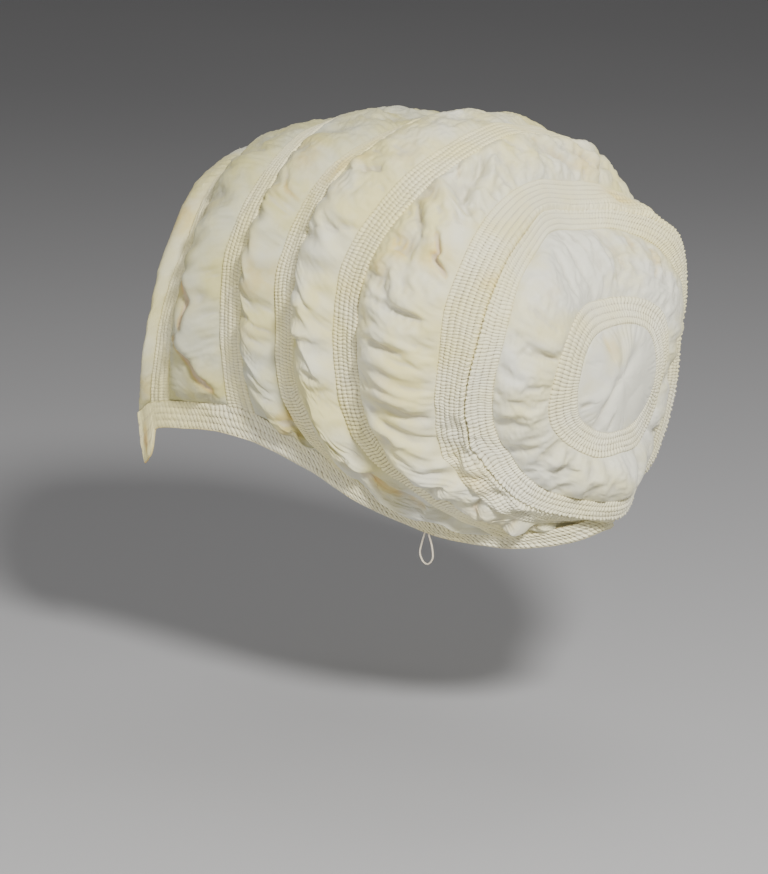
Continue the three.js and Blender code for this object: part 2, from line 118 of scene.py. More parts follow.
# Closed ovals of the crown tip from outside to centre, top to bottom.
OVALS = [
    ("crown_seam",
     (0, 0.47, 0.82, 0.95, 0.94, 0.83, 0.54, 0),
     (0.237, 0.277, 0.302, 0.287, 0.254, 0.245, 0.3, 0.378),
     (-0.17, -0.185, -0.27, -0.42, -0.58, -0.71, -0.856, -0.921)),
    ("tip_band_inner",
     (0, 0.36, 0.71, 0.84, 0.81, 0.7, 0.46, 0),
     (0.258, 0.286, 0.317, 0.318, 0.286, 0.278, 0.322, 0.392),
     (-0.22, -0.225, -0.307, -0.43, -0.57, -0.69, -0.82, -0.87)),
    ("ring_outer",
     (0, 0.29, 0.47, 0.555, 0.55, 0.48, 0.2, 0),
     (0.346, 0.37, 0.383, 0.375, 0.362, 0.361, 0.38, 0.389),
     (-0.381, -0.386, -0.433, -0.53, -0.61, -0.67, -0.747, -0.749)),
    ("ring_inner",
     (0, 0.15, 0.28, 0.37, 0.37, 0.3, 0.12, 0),
     (0.378, 0.383, 0.388, 0.388, 0.383, 0.378, 0.382, 0.385),
     (-0.44, -0.443, -0.465, -0.54, -0.6, -0.65, -0.693, -0.696)),
]
CORE = np.array([0.0, 0.15 * LENGTH, -0.5 * HEIGHT])
FOOT_START = 0.78
SIZES = np.array([HALF_WIDTH, LENGTH, HEIGHT])


def unit(a):
    return a / np.maximum(np.linalg.norm(a, axis=-1, keepdims=True), 1e-9)


def mix(a, b, t):
    return a + (b - a) * t


def smoothstep(x, low, high):
    t = np.clip((x - low) / (high - low), 0, 1)
    return t * t * (3 - 2 * t)


def four_around(points, t, closed):
    """The four points around each parameter t from 0 to 1, and the share between the middle two."""
    count = len(points)
    place = np.asarray(t, float) * (count if closed else count - 1)
    low = np.floor(place).astype(int)
    if closed:
        return [points[(low + k) % count] for k in (-1, 0, 1, 2)], (place - low)[..., None]
    low = np.clip(low, 0, count - 2)
    whole = np.vstack([2 * points[0] - points[1], points, 2 * points[-1] - points[-2]])
    return [whole[low + k] for k in range(4)], (place - low)[..., None]


def spline(points, t, closed=False):
    """A centripetal Catmull-Rom curve through points, at parameters t from 0 to 1."""
    (p0, p1, p2, p3), share = four_around(points, t, closed)
    gaps = [np.sum((b - a) ** 2, axis=-1, keepdims=True) ** 0.25
            for a, b in ((p0, p1), (p1, p2), (p2, p3))]
    middle = np.where(gaps[1] < 1e-4, 1.0, gaps[1])
    first = np.where(gaps[0] < 1e-4, middle, gaps[0])
    last = np.where(gaps[2] < 1e-4, middle, gaps[2])
    out = ((p1 - p0) / first - (p2 - p0) / (first + middle) + (p2 - p1) / middle) * middle
    into = ((p2 - p1) / middle - (p3 - p1) / (middle + last) + (p3 - p2) / last) * middle
    square, cube = share ** 2, share ** 3
    return (p1 * (2 * cube - 3 * square + 1) + out * (cube - 2 * square + share)
            + p2 * (3 * square - 2 * cube) + into * (cube - square))


def even_points(points, steps, closed=False):
    """Points at equal distances along the curve, with both ends unless it is closed."""
    t = np.linspace(0, 1, 4001)
    fine = spline(points, t, closed)
    run = np.concatenate([[0], np.cumsum(np.linalg.norm(np.diff(fine, axis=0), axis=1))])
    goals = np.linspace(0, run[-1], steps + 1)
    chosen = spline(points, np.interp(goals, run, t), closed)
    return chosen[:-1] if closed else chosen


def other_side(points):
    return (points * np.array([-1, 1, 1]))[::-1]


def both_sides(half):
    return np.vstack([other_side(half[1:]), half])


neck_half = NECK_LINE[:, :3] * SIZES
neck_round = np.vstack([neck_half, other_side(neck_half[:-1])])


def neck_point(index):
    return spline(neck_round, np.asarray(index, float) / (2 * (len(NECK_LINE) - 1)))


def neck_column(column, index):
    return np.interp(index, np.arange(len(NECK_LINE)), NECK_LINE[:, column])


def table_points(rows):
    return np.column_stack([np.array(column, float) for column in rows]) * SIZES


def arch_line(row):
    foot = neck_point(row[1])
    foot[0] = max(foot[0], NAPE_SPLIT)
    half = np.vstack([table_points(row[5:8]), foot])
    return even_points(both_sides(half), ARCH_STEPS)


def oval_line(row):
    half = table_points(row[1:4])
    return even_points(np.vstack([half, other_side(half[1:-1])]), OVAL_STEPS, closed=True)


# The tip sits a little askew: how far the hidden side of each oval comes in and goes back, how far
# all of it lies towards the wearer's left and how far its hidden low part goes back, in millimetres.
ASKEW = [(0, 5, 0, 13), (4.5, 1, 0, 10), (2, 0, 5, 0), (0, 0, 5, 0)]
EDGE_ASKEW = (0, 0, 0, 7)
LOW_BACK_AT, LOW_BACK_REACH = -148, 34


def skewed(line, inward, back, shift, low_back):
    far = smoothstep(-line[:, 0] / np.abs(line[:, 0]).max(), 0, 0.8)
    low = np.exp(-((line[:, 2] - LOW_BACK_AT) / LOW_BACK_REACH) ** 2)
    line[:, 0] += inward * far + shift
    line[:, 1] += (back + low_back * low) * far
    return line


arch_lines = [arch_line(row) for row in ARCHES]
arch_lines[-1] = skewed(arch_lines[-1], *EDGE_ASKEW)
oval_lines = [skewed(oval_line(row), *askew) for row, askew in zip(OVALS, ASKEW)]
opened = table_points(OVALS[0][1:4])
opened[-1, 0] = NAPE_SPLIT
seam_arch = skewed(even_points(both_sides(opened), ARCH_STEPS), *ASKEW[0])


def tangents(line, closed=False):
    if closed:
        return unit(np.roll(line, -1, axis=0) - np.roll(line, 1, axis=0))
    return unit(np.vstack([line[1:], line[-1:]]) - np.vstack([line[:1], line[:-1]]))


def near_foot(u):
    return smoothstep(np.abs(u - 0.5) * 2, FOOT_START, 1)


STATIONS = np.linspace(0, 1, ARCH_STEPS + 1)


def across_directions(i):
    line = arch_lines[i]
    run = tangents(line)
    chord = unit(arch_lines[min(i + 1, len(ARCHES) - 1)] - arch_lines[max(i - 1, 0)])
    square = unit(chord - run * np.sum(chord * run, axis=1, keepdims=True))
    foot = near_foot(STATIONS)[:, None]
    return square * (1 - foot) + chord * foot * ARCHES[i][4]


def outward(line, line_a, line_b, closed=False):
    return unit(np.cross(tangents(line, closed), line_b - line_a))


def band_edges(i):
    neck_at, cords, lean, spread = ARCHES[i][1:5]
    half = cords * CORD_PITCH / 2
    spacing = np.linalg.norm(neck_point(neck_at - 0.5) - neck_point(neck_at + 0.5))
    across = across_directions(i)
    line = arch_lines[i]
    normals = outward(line, line, line + across)
    edges = []
    for side in (-1, 1):
        edge = line + across * half * side + normals * lean * side
        edges.append({"line": edge, "foot": neck_at + side * half * spread / spacing})
    return edges


open_seams = []
for i, row in enumerate(ARCHES):
    open_seams += band_edges(i) if row[2] else [{"line": arch_lines[i], "foot": row[1]}]
open_seams.append({"line": seam_arch, "foot": None})
closed_seams = [{"line": line, "foot": None} for line in oval_lines]
for seams in (open_seams, closed_seams):
    for i, seam in enumerate(seams):
        before = seams[max(i - 1, 0)]["line"]
        after = seams[min(i + 1, len(seams) - 1)]["line"]
        seam["normals"] = outward(seam["line"], before, after, seams is closed_seams)
open_seams[-1]["normals"] = unit(seam_arch - CORE)
closed_seams[0]["normals"] = unit(oval_lines[0] - CORE)


def dense(rows, u, closed):
    """Smooth values between evenly spaced rows, at shares u of the whole run."""
    (p0, p1, p2, p3), s = four_around(rows, u, closed)
    return p1 + 0.5 * s * (p2 - p0 + s * (2 * p0 - 5 * p1 + 4 * p2 - p3
                                          + s * (3 * (p1 - p2) + p3 - p0)))


def strip(seam_a, seam_b, u, v, closed=False):
    """Points and outward directions of the sheet between two seams, columns u by rows v."""
    line_a = dense(seam_a["line"], u, closed)[:, None]
    line_b = dense(seam_b["line"], u, closed)[:, None]
    out_a = dense(seam_a["normals"], u, closed)[:, None]
    out_b = dense(seam_b["normals"], u, closed)[:, None]
    share = v[None, :, None]
    points = mix(line_a, line_b, share)
    if seam_b["foot"] is not None:
        goal = neck_point(mix(seam_a["foot"], seam_b["foot"], v))
        goal[:, 0] = np.maximum(goal[:, 0], NAPE_SPLIT)
        for end, side in ((0, -1), (-1, 1)):
            ends = mix(seam_a["line"][end], seam_b["line"][end], v[:, None])
            shift = goal * np.array([side, 1, 1]) - ends
            half = (u < 0.5) if end == 0 else (u >= 0.5)
            points += (near_foot(u) * half)[:, None, None] * shift[None]
    return points, unit(mix(out_a, out_b, share))


CORD_RELIEF = 0.78
CORDED_WALL = 1.8
CREST_BULGE, CREST_START, CREST_END = 0.1, 0.06, 0.26
FOOT_RISE = 0.12
PILLOW = 0.8
UNEVEN = 3
PLEATS, PLEAT_SPAN = 3, 0.12

# Every puff: how far it bulges, its share of that low at the feet, how much more it is crushed high
# beside the crest, how deep the crush is, the gathers along it (their number, height and phase), the
# pleats over its crest, and how much longer and wider its cloth is than the place it is sewn into.
PUFF_KEYS = ("bulge", "low", "high", "crush", "folds", "fold", "phase", "pleat", "long", "wide")
PUFFS = {name: dict(zip(PUFF_KEYS, row)) for name, row in {
    "face_edge_puff": (4, 0.9, 1, 0.12, 9, 0.2, 0.3, 0, 1.02, 1.02),
    "puff_1": (6.5, 0.9, 1.2, 0.45, 9, 1.1, 1.1, 0, 1.055, 1.05),
    "puff_2": (8, 0.6, 1.2, 0.46, 9, 1.3, 2.0, 0, 1.06, 1.05),
    "puff_3": (8.5, 0.65, 1.2, 0.62, 9, 1.4, 0.7, 0, 1.06, 1.05),
    "puff_4": (8, 0.3, 1.5, 0.9, 9, 1.5, 2.6, 1.6, 1.07, 1.05),
    "tip_puff": (3.6, 1, 1, 1.3, 9, 1.1, 0.5, 0, 1.07, 1.05),
}.items()}
TIP_CENTRE = {"bulge": 5, "folds": 3, "fold": 0.8, "phase": 1.2, "long": 1.05, "wide": 1.04}

# How yellow each piece is, at even shares of the way round it.
WARMTH = {
    "face_edge_puff": [0.55, 0.6, 0.6, 0.6, 0.7, 0.75, 0.7],
    "puff_1": [0.6, 0.7, 0.7, 0.65, 0.7, 0.8, 0.7],
    "puff_2": [0.4, 0.5, 0.6, 0.6, 0.6, 0.55, 0.4],
    "puff_3": [0.2, 0.45, 0.65, 0.65, 0.68, 0.6, 0.12],
    "puff_4": [0.35, 0.5, 0.65, 0.65, 0.75, 0.6, 0.35],
    "tip_puff": [0.2, 0.22, 0.15, 0.05, 0.1, 0.25, 0.25],
    "tip_centre": [0.16, 0.2, 0.2, 0.1, 0.1, 0.16, 0.16],
    "corded_band_1": [0.8, 0.8, 0.8, 0.75, 0.8, 0.8, 0.8],
    "corded_band_2": [0.7, 0.75, 0.75, 0.7, 0.75, 0.75, 0.7],
    "corded_band_3": [0.6, 0.7, 0.7, 0.75, 0.8, 0.7, 0.6],
    "corded_band_4": [0.5, 0.7, 0.75, 0.75, 0.75, 0.75, 0.5],
    "crown_band": [0.35, 0.5, 0.6, 0.65, 0.6, 0.5, 0.35],
    "tip_band": [0.55, 0.42, 0.4, 0.3, 0.3, 0.5, 0.55],
    "tip_ring": [0.5, 0.45, 0.4, 0.35, 0.35, 0.45, 0.5],
    "neck_band": [0.95, 0.5, 0.45, 0.5, 0.45, 0.5, 0.95],
}


# Painted shade: how much less light comes back from puffs with nothing behind their cloth, darkening their
# colour.
THIN = {"face_edge_puff": 0.5, "puff_1": 1.0, "puff_2": 0.85, "puff_3": 0.25}


def warmth(name, u):
    stops = WARMTH[name]
    return np.interp(u, np.linspace(0, 1, len(stops)), stops)[:, None]


# Every corded band: its cords, the pitch of the ridges across them, how strongly painted shade marks its
# stitch lines, and how hard the cloth is drawn up on the cords, at even shares of the way round. For an
# open band the first and last are its feet and the middle one is its crest.
BAND_KEYS = ("cords", "pitch", "stitch", "pull")
BANDS = {name: dict(zip(BAND_KEYS, row)) for name, row in {
    "corded_band_1": (4, 1.9, 0.3, (0.4, 0.3, 0.2, 0.15, 0.2, 0.3, 0.4)),
    "corded_band_2": (5, 1.8, 0.6, (0.7, 0.6, 0.4, 0.2, 0.4, 0.6, 0.7)),
    "corded_band_3": (5, 1.8, 0.6, (1.3, 0.9, 0.45, 0.2, 0.45, 0.9, 1.3)),
    "corded_band_4": (5, 2.0, 1.0, (1.6, 1.1, 0.7, 0.3, 0.7, 1.1, 1.6)),
    "crown_band": (6, 1.7, 1.0, (1, 1, 0.9, 0.55, 0.9, 1, 1)),
    "tip_band": (4, 1.8, 0.9, (0.35, 0.8, 1, 1, 1, 0.8, 0.35)),
    "tip_ring": (4, 1.9, 0.8, (0.8, 0.9, 1, 1, 1, 0.9, 0.8)),
    "neck_band": (4, 2.8, 0.85),
}.items()}


# Noise and small shapes

NOISE_ROUND, NOISE_ACROSS = 997, 61


def value_noise(x, y, seed, wrap=None):
    """Smooth noise between -1 and 1 on cells of size 1; wrap is the number of cells round a ring."""
    table = np.random.default_rng(seed).uniform(-1, 1, (NOISE_ROUND, NOISE_ACROSS))
    column = np.floor(x).astype(int)
    row = np.floor(y).astype(int)
    fx = smoothstep(x - column, 0, 1)
    fy = smoothstep(y - row, 0, 1)
    turns = wrap or NOISE_ROUND
    left, right = column % turns, (column + 1) % turns
    low, high = row % NOISE_ACROSS, (row + 1) % NOISE_ACROSS
    return mix(mix(table[left, low], table[right, low], fx),
               mix(table[left, high], table[right, high], fx), fy)


def wrapped(cell, length, closed):
    """A cell size that fits a whole number of times round a closed run, and that number."""
    if not closed:
        return cell, None
    turns = max(1, round(length / cell))
    return length / turns, turns


def billows(run, across, total, closed, seed, reach):
    """Crushed cloth: soft bulges, longest from seam to seam, that meet in creases."""
    cell, turns = wrapped(36, total, closed)
    bend = value_noise(run / cell, across / 22 + 2, seed, turns)
    calm = smoothstep(value_noise(run / cell, across / 30 + 9, seed + 1, turns), -0.5, 0.3)
    cell, turns = wrapped(10.5, total, closed)
    broad = np.abs(value_noise(run / cell + 0.9 * bend, across / reach + 3, seed + 2, turns))
    cell, turns = wrapped(5.5, total, closed)
    small = np.abs(value_noise(run / cell + 1.6 * bend, across / (0.5 * reach) + 9, seed + 3, turns))
    return 4.2 * (broad ** 0.85 - 0.42) + 1.5 * calm * (small ** 0.85 - 0.42) + 1.2 * bend


def gather(share, folds, phase):
    turn = 2 * np.pi * share
    return np.sin(folds * turn + phase + np.sin(UNEVEN * turn + phase))


FAR_SINK = 0.85


def far_share(u):
    """1 where the tip is flattest, on the hidden side of a closed piece."""
    return np.exp(-((u - 0.70) / 0.19) ** 4)


def pillow_height(puff, u, v, closed):
    """How far a puff stands off the chord between its seams, without its fine folds."""
    u, v = u[:, None], v[None, :]
    to_foot = 1 if closed else np.clip((1 - np.abs(u - 0.5) * 2) / FOOT_RISE, 0, 1)
    rise = (np.sin(np.pi * v).clip(0) * np.sin(np.pi / 2 * to_foot)) ** PILLOW
    hidden = u < 0.5
    low = smoothstep(np.abs(u - 0.5), CREST_START + 0.06 * hidden, CREST_END + 0.12 * hidden)
    swell = np.interp(np.abs(u - 0.5) * 2, [0, 0.5, 0.68, 0.82, 1], [1, 1, 0.85, puff["low"], 0.2])
    if closed:
        full = 1 - FAR_SINK * far_share(u)
    else:
        full = (CREST_BULGE + (1 - CREST_BULGE) * low) * swell
    soft = puff["bulge"] * full + puff["fold"] * gather(u, puff["folds"], puff["phase"] + v)
    top = np.exp(-(((u - 0.5) / PLEAT_SPAN) ** 2))
    return rise * (soft + puff["pleat"] * top * np.cos(PLEATS * np.pi * v))


# Sewn cloth settling between its seams

SIM_ROUNDS, SIM_PASSES = 70, 3
INERTIA, HOLD, PRESSURE = 0.85, 0.012, 0.02
SHEAR, BEND = 0.25, 0.5
ROOM_AT_SEAM, ROOM_INSIDE = 0.8, 2.2


def spring(points, steps, rest, firmness, closed):
    """Moves grid neighbours, steps apart, towards the distance they have in the flat cloth."""
    du, dv = steps
    way = np.roll(points, (-du, -dv), (0, 1)) - points
    length = np.sqrt(np.einsum("ijk,ijk->ij", way, way)) + 1e-6
    way *= (0.5 * firmness * (1 - rest / length))[..., None]
    if dv > 0:
        way[:, -dv:] = 0
    if dv < 0:
        way[:, :-dv] = 0
    if not closed:
        way[-du or len(way):] = 0
    points += way
    points -= np.roll(way, (du, dv), (0, 1))


def distances(points, steps):
    du, dv = steps
    way = np.roll(points, (-du, -dv), (0, 1)) - points
    return np.linalg.norm(way, axis=-1)


def settle(base, normals, goal, long, wide, closed, seed, cell):
    """Lets a sheet that is longer and wider than its place find its folds between pinned seams.

    goal is the form that the puff keeps in the large, cell the size of the first ripples.
    """
    columns, rows = base.shape[:2]
    v = np.linspace(0, 1, rows)
    inner = np.sqrt(np.sin(np.pi * v).clip(0))
    longer = 1 + (long - 1) * (0.35 + 0.65 * inner)
    along = distances(goal, (1, 0)) * longer
    across = distances(goal, (0, 1)) * wide
    slants = {step: distances(goal, step) * (long + wide) / 2 for step in ((1, 1), (1, -1))}
    along_two = distances(goal, (2, 0)) * longer
    across_two = distances(goal, (0, 2)) * wide
    run = np.arange(columns)[:, None] * along.mean()
    cell, turns = wrapped(cell, columns * along.mean(), closed)
    start = value_noise(run / cell, v[None, :] * 2.2, seed, turns)
    points = goal + normals * (0.8 * start * inner)[..., None]
    points, goal, normals = (grid.astype(np.float32) for grid in (points, goal, normals))
    last = points.copy()
    room = (ROOM_AT_SEAM + ROOM_INSIDE * inner)[None, :]
    for _ in range(SIM_ROUNDS):
        before = points.copy()
        points += (points - last) * INERTIA
        last = before
        points += (goal - points) * HOLD
        points += normals * PRESSURE
        for _ in range(SIM_PASSES):
            spring(points, (1, 0), along, 1.0, closed)
            spring(points, (0, 1), across, 1.0, closed)
            for step, slant in slants.items():
                spring(points, step, slant, SHEAR, closed)
            spring(points, (2, 0), along_two, BEND, closed)
            spring(points, (0, 2), across_two, BEND, closed)
            points[:, 0] = goal[:, 0]
            points[:, -1] = goal[:, -1]
            if not closed:
                points[0] = goal[0]
                points[-1] = goal[-1]
        offset = np.einsum("ijk,ijk->ij", points - goal, normals)
        over = offset - offset.clip(-room, room)
        points -= normals * over[..., None]
    return points.astype(float)


def finer(points, columns, rows, closed):
    """The same grid with more columns and rows, read off smoothly."""
    u = np.linspace(0, 1, columns, endpoint=not closed)
    v = np.linspace(0, 1, rows)
    by_u = dense(points.reshape(len(points), -1), u, closed).reshape(columns, -1, 3)
    turned = by_u.transpose(1, 0, 2).reshape(by_u.shape[1], -1)
    return dense(turned, v, False).reshape(rows, columns, 3).transpose(1, 0, 2)


# Meshes

def link(piece):
    bpy.context.scene.collection.objects.link(piece)


def grid_mesh(name, points, closed, uv, values, material):
    """A smooth mesh of quads from a grid of points; values are numbers kept at its vertices."""
    columns, rows = points.shape[:2]
    index = np.arange(columns * rows).reshape(columns, rows)
    after = np.roll(index, -1, axis=0) if closed else index[1:]
    here = index if closed else index[:-1]
    faces = np.stack([here[:, :-1], after[:, :-1], after[:, 1:], here[:, 1:]], axis=-1)
    faces = faces.reshape(-1, 4)
    mesh = bpy.data.meshes.new(name + "_silk")
    mesh.vertices.add(columns * rows)
    mesh.vertices.foreach_set("co", (points / METRE).astype(np.float32).ravel())
    mesh.loops.add(faces.size)
    mesh.loops.foreach_set("vertex_index", faces.astype(np.int32).ravel())
    mesh.polygons.add(len(faces))
    mesh.polygons.foreach_set("loop_start", np.arange(0, faces.size, 4, dtype=np.int32))
    mesh.polygons.foreach_set("use_smooth", np.ones(len(faces), dtype=bool))
    mesh.update(calc_edges=True)
    layer = mesh.uv_layers.new(name="cloth")
    corner = uv.reshape(-1, 2)[faces].reshape(-1, 4, 2)
    if closed:
        wrap = faces[:, 1] < faces[:, 0]
        corner[wrap, 1:3, 0] += uv[-1, 0, 0] + uv[1, 0, 0] - uv[0, 0, 0]
    layer.data.foreach_set("uv", corner.astype(np.float32).ravel())
    for key, grid in values.items():
        kept = mesh.attributes.new(key, "FLOAT", "POINT")
        whole = np.broadcast_to(grid, (columns, rows))
        kept.data.foreach_set("value", whole.astype(np.float32).ravel())
    mesh.validate()
    piece = bpy.data.objects.new(name + "_silk", mesh)
    link(piece)
    mesh.materials.append(material)
    return piece


def hollowness(points, normals, closed, reach):
    """How deep each point lies under the cloth around it, in millimetres."""
    smooth = points.copy()
    for _ in range(reach):
        if closed:
            smooth = (np.roll(smooth, 1, 0) + np.roll(smooth, -1, 0) + 2 * smooth) / 4
        else:
            smooth[1:-1] = (smooth[:-2] + smooth[2:] + 2 * smooth[1:-1]) / 4
        smooth[:, 1:-1] = (smooth[:, :-2] + smooth[:, 2:] + 2 * smooth[:, 1:-1]) / 4
    return np.einsum("ijk,ijk->ij", smooth - points, normals)


def register(piece, node):
    """Attaches a piece to the root body and hides the CAD part named node."""
    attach(piece, "root")
    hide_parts(node)


# Folds seen in the photograph, per puff: points (u, v) from end to end, width and depth in
# millimetres (a negative depth is a ridge), and how brown the fold's deep line is, partly stain and partly
# painted shade.
FOLDS = {
    "puff_1": [
        ([(0.815, 0.28), (0.845, 0.40), (0.878, 0.38)], 2.3, 2.0, 1.6),
        ([(0.89, 0.22), (0.92, 0.40), (0.95, 0.56), (0.975, 0.8)], 2.6, 2.2, 1.6),
        ([(0.862, 0.05), (0.90, 0.25), (0.935, 0.5), (0.975, 0.9)], 1.1, 0.8, 0.1),
        ([(0.735, 0.25), (0.765, 0.12)], 1.8, 1.0, 0.4),
    ],
    "puff_2": [
        ([(0.735, 0.98), (0.737, 0.7)], 1.2, 0.9, 0.1),
        ([(0.780, 0.98), (0.781, 0.85)], 1.0, 0.8, 0.1),
        ([(0.810, 0.98), (0.812, 0.82)], 1.0, 0.9, 0.1),
        ([(0.832, 0.98), (0.84, 0.7), (0.845, 0.5)], 1.3, 1.3, 0.35),
        ([(0.852, 0.95), (0.858, 0.55)], 1.2, 0.9, 0.1),
        ([(0.885, 0.97), (0.892, 0.75)], 1.2, 0.9, 0.1),
        ([(0.915, 0.95), (0.925, 0.6)], 1.5, 1.3, 0.3),
        ([(0.935, 0.98), (0.955, 0.62)], 2.3, 2.4, 0.6),
        ([(0.672, 0.35), (0.69, 0.6), (0.69, 0.9)], 1.6, 1.0, 0.5),
    ],
    "puff_3": [
        ([(0.815, 0.03), (0.79, 0.5), (0.768, 0.95)], 1.6, 1.4, 0.1),
        ([(0.79, 0.05), (0.757, 0.6)], 1.6, 1.0, 0.0),
        ([(0.85, 0.1), (0.815, 0.6), (0.80, 0.95)], 1.8, 1.2, 0.0),
        ([(0.70, 0.3), (0.675, 0.9)], 2.2, 1.8, 0.1),
        ([(0.64, 0.1), (0.625, 0.6)], 2.4, 2.3, 0.25),
        ([(0.885, 0.15), (0.915, 0.45), (0.94, 0.85)], 2.3, 2.6, 0.8),
        ([(0.93, 0.1), (0.95, 0.55)], 1.8, 2.0, 0.4),
        ([(0.86, 0.35), (0.88, 0.9)], 1.8, 1.8, 0.2),
    ],
    "puff_4": [
        ([(0.645, 0.64), (0.655, 0.76), (0.660, 0.72), (0.668, 0.9)], 1.5, 2.3, 1.1),
        ([(0.600, 0.98), (0.604, 0.78)], 1.5, 2.2, 0.15),
        ([(0.578, 0.98), (0.582, 0.8)], 1.4, 2.0, 0.1),
        ([(0.555, 0.98), (0.562, 0.8)], 1.4, 1.8, 0.1),
        ([(0.62, 0.55), (0.628, 0.75), (0.622, 0.95)], 1.4, 1.8, 0.25),
        ([(0.57, 0.35), (0.60, 0.5), (0.612, 0.75)], 3.0, 3.0, 0.15),
        ([(0.56, 0.1), (0.575, 0.35)], 2.8, 2.8, 0.15),
        ([(0.63, 0.1), (0.645, 0.4)], 2.5, 2.7, 0.25),
        ([(0.583, 0.06), (0.591, 0.22)], 1.6, 2.0, 0.4),
        ([(0.605, 0.15), (0.615, 0.55)], 4.0, -2.4, 0.0),
        ([(0.715, 0.25), (0.712, 0.6), (0.705, 0.9)], 2.0, 1.4, 0.1),
        ([(0.745, 0.3), (0.742, 0.7)], 2.0, 1.3, 0.3),
        ([(0.79, 0.55), (0.795, 0.9)], 2.0, 1.6, 0.4),
        ([(0.845, 0.02), (0.835, 0.35)], 3.5, 2.5, 0.2),
        ([(0.86, 0.9), (0.88, 0.5), (0.90, 0.2)], 2.0, 2.0, 0.3),
        ([(0.885, 0.95), (0.91, 0.6), (0.94, 0.3)], 1.8, 2.2, 0.7),
        ([(0.925, 0.9), (0.945, 0.45)], 1.6, 2.0, 0.4),
        ([(0.95, 0.85), (0.968, 0.3)], 1.6, 1.7, 0.4),
        ([(0.505, 0.2), (0.48, 0.5), (0.455, 0.8)], 2.4, 2.6, 0.4),
        ([(0.455, 0.45), (0.43, 0.75)], 2.2, 2.5, 0.5),
    ],
    "tip_puff": [
        ([(0.020, 0.05), (0.018, 0.4)], 1.6, 2.1, 0.2),
        ([(0.005, 0.03), (0.003, 0.3)], 1.4, 1.8, 0.1),
        ([(0.045, 0.03), (0.042, 0.45)], 1.5, 1.8, 0.1),
        ([(0.98, 0.05), (0.978, 0.5)], 1.6, 1.9, 0.1),
        ([(0.000, 0.55), (0.998, 0.8)], 1.5, 1.2, 0.1),
        ([(0.958, 0.06), (0.952, 0.35), (0.948, 0.62)], 1.8, 2.2, 0.4),
        ([(0.925, 0.1), (0.924, 0.35)], 1.8, 1.9, 0.5),
        ([(0.888, 0.2), (0.885, 0.6)], 1.8, 2.0, 0.8),
        ([(0.205, 0.55), (0.195, 0.98)], 2.0, 1.4, 0.2),
        ([(0.295, 0.15), (0.292, 0.5)], 2.4, 1.9, 0.1),
        ([(0.375, 0.98), (0.385, 0.75)], 1.5, 1.6, 0.1),
        ([(0.38, 0.35), (0.40, 0.6)], 2.4, 1.9, 0.15),
        ([(0.44, 0.25), (0.455, 0.45)], 2.0, 1.3, 0.1),
    ],
    "tip_centre": [
        ([(0.41, 0.04), (0.385, 0.4), (0.32, 0.85)], 2.6, 1.1, 0.15),
        ([(0.33, 0.8), (0.9, 0.75), (0.87, 0.4)], 3.2, 0.7, 0.0),
        ([(0.07, 0.05), (0.09, 0.5)], 2.2, 0.9, 0.3),
        ([(0.31, 0.03), (0.31, 0.25)], 1.5, 0.9, 0.2),
        ([(0.46, 0.05), (0.46, 0.3)], 1.5, 0.8, 0.1),
    ],
}

# Stains on each piece: place (u, v), radius in millimetres and strength.
STAINS = {
    "puff_1": [
        (0.84, 0.3, 14, 0.27), (0.72, 0.35, 11, 0.18), (0.97, 0.6, 14, 0.24),
    ],
    "puff_2": [
        (0.79, 0.5, 13, 0.3), (0.765, 0.45, 10, 0.21), (0.645, 0.45, 13, 0.3), (0.69, 0.4, 11, 0.21),
        (0.85, 0.55, 13, 0.18), (0.945, 0.8, 11, 0.36),
    ],
    "puff_3": [
        (0.62, 0.1, 10, 0.24), (0.60, 0.75, 10, 0.15), (0.66, 0.15, 11, 0.18),
    ],
    "puff_4": [
        (0.665, 0.3, 8, 0.42), (0.66, 0.75, 10, 0.3), (0.62, 0.2, 13, 0.18), (0.775, 0.6, 14, 0.18),
        (0.45, 0.7, 13, 0.24), (0.93, 0.5, 14, 0.24), (0.69, 0.2, 13, 0.21),
    ],
    "tip_puff": [
        (0.885, 0.35, 8, 0.3), (0.13, 0.45, 10, 0.18),
    ],
    "tip_centre": [
        (0.05, 0.35, 10, 0.21),
    ],
    "face_edge_puff": [
        (0.70, 0.5, 19, 0.3), (0.97, 0.6, 10, 0.24),
    ],
    "corded_band_2": [
        (0.86, 0.5, 11, 0.12),
    ],
    "corded_band_3": [
        (0.64, 0.6, 14, 0.27), (0.60, 0.4, 13, 0.18),
    ],
    "corded_band_4": [
        (0.715, 0.8, 13, 0.15),
    ],
    "crown_band": [
        (0.86, 0.4, 11, 0.21), (0.66, 0.9, 8, 0.21), (0.42, 0.4, 14, 0.24),
    ],
}
FAR_SIDE_SHARE = 0.65


def at_share(grid, u, v, closed):
    """The grid's point at shares u and v."""
    columns, rows = grid.shape[:2]
    place = (u % 1.0) * columns if closed else u * (columns - 1)
    low = int(np.clip(place, 0, columns - 1))
    high = (low + 1) % columns if closed else min(low + 1, columns - 1)
    across = np.clip(v, 0, 1) * (rows - 1)
    row = min(int(across), rows - 2)
    left = mix(grid[low, row], grid[low, row + 1], across - row)
    right = mix(grid[high, row], grid[high, row + 1], across - row)
    return mix(left, right, place - low)


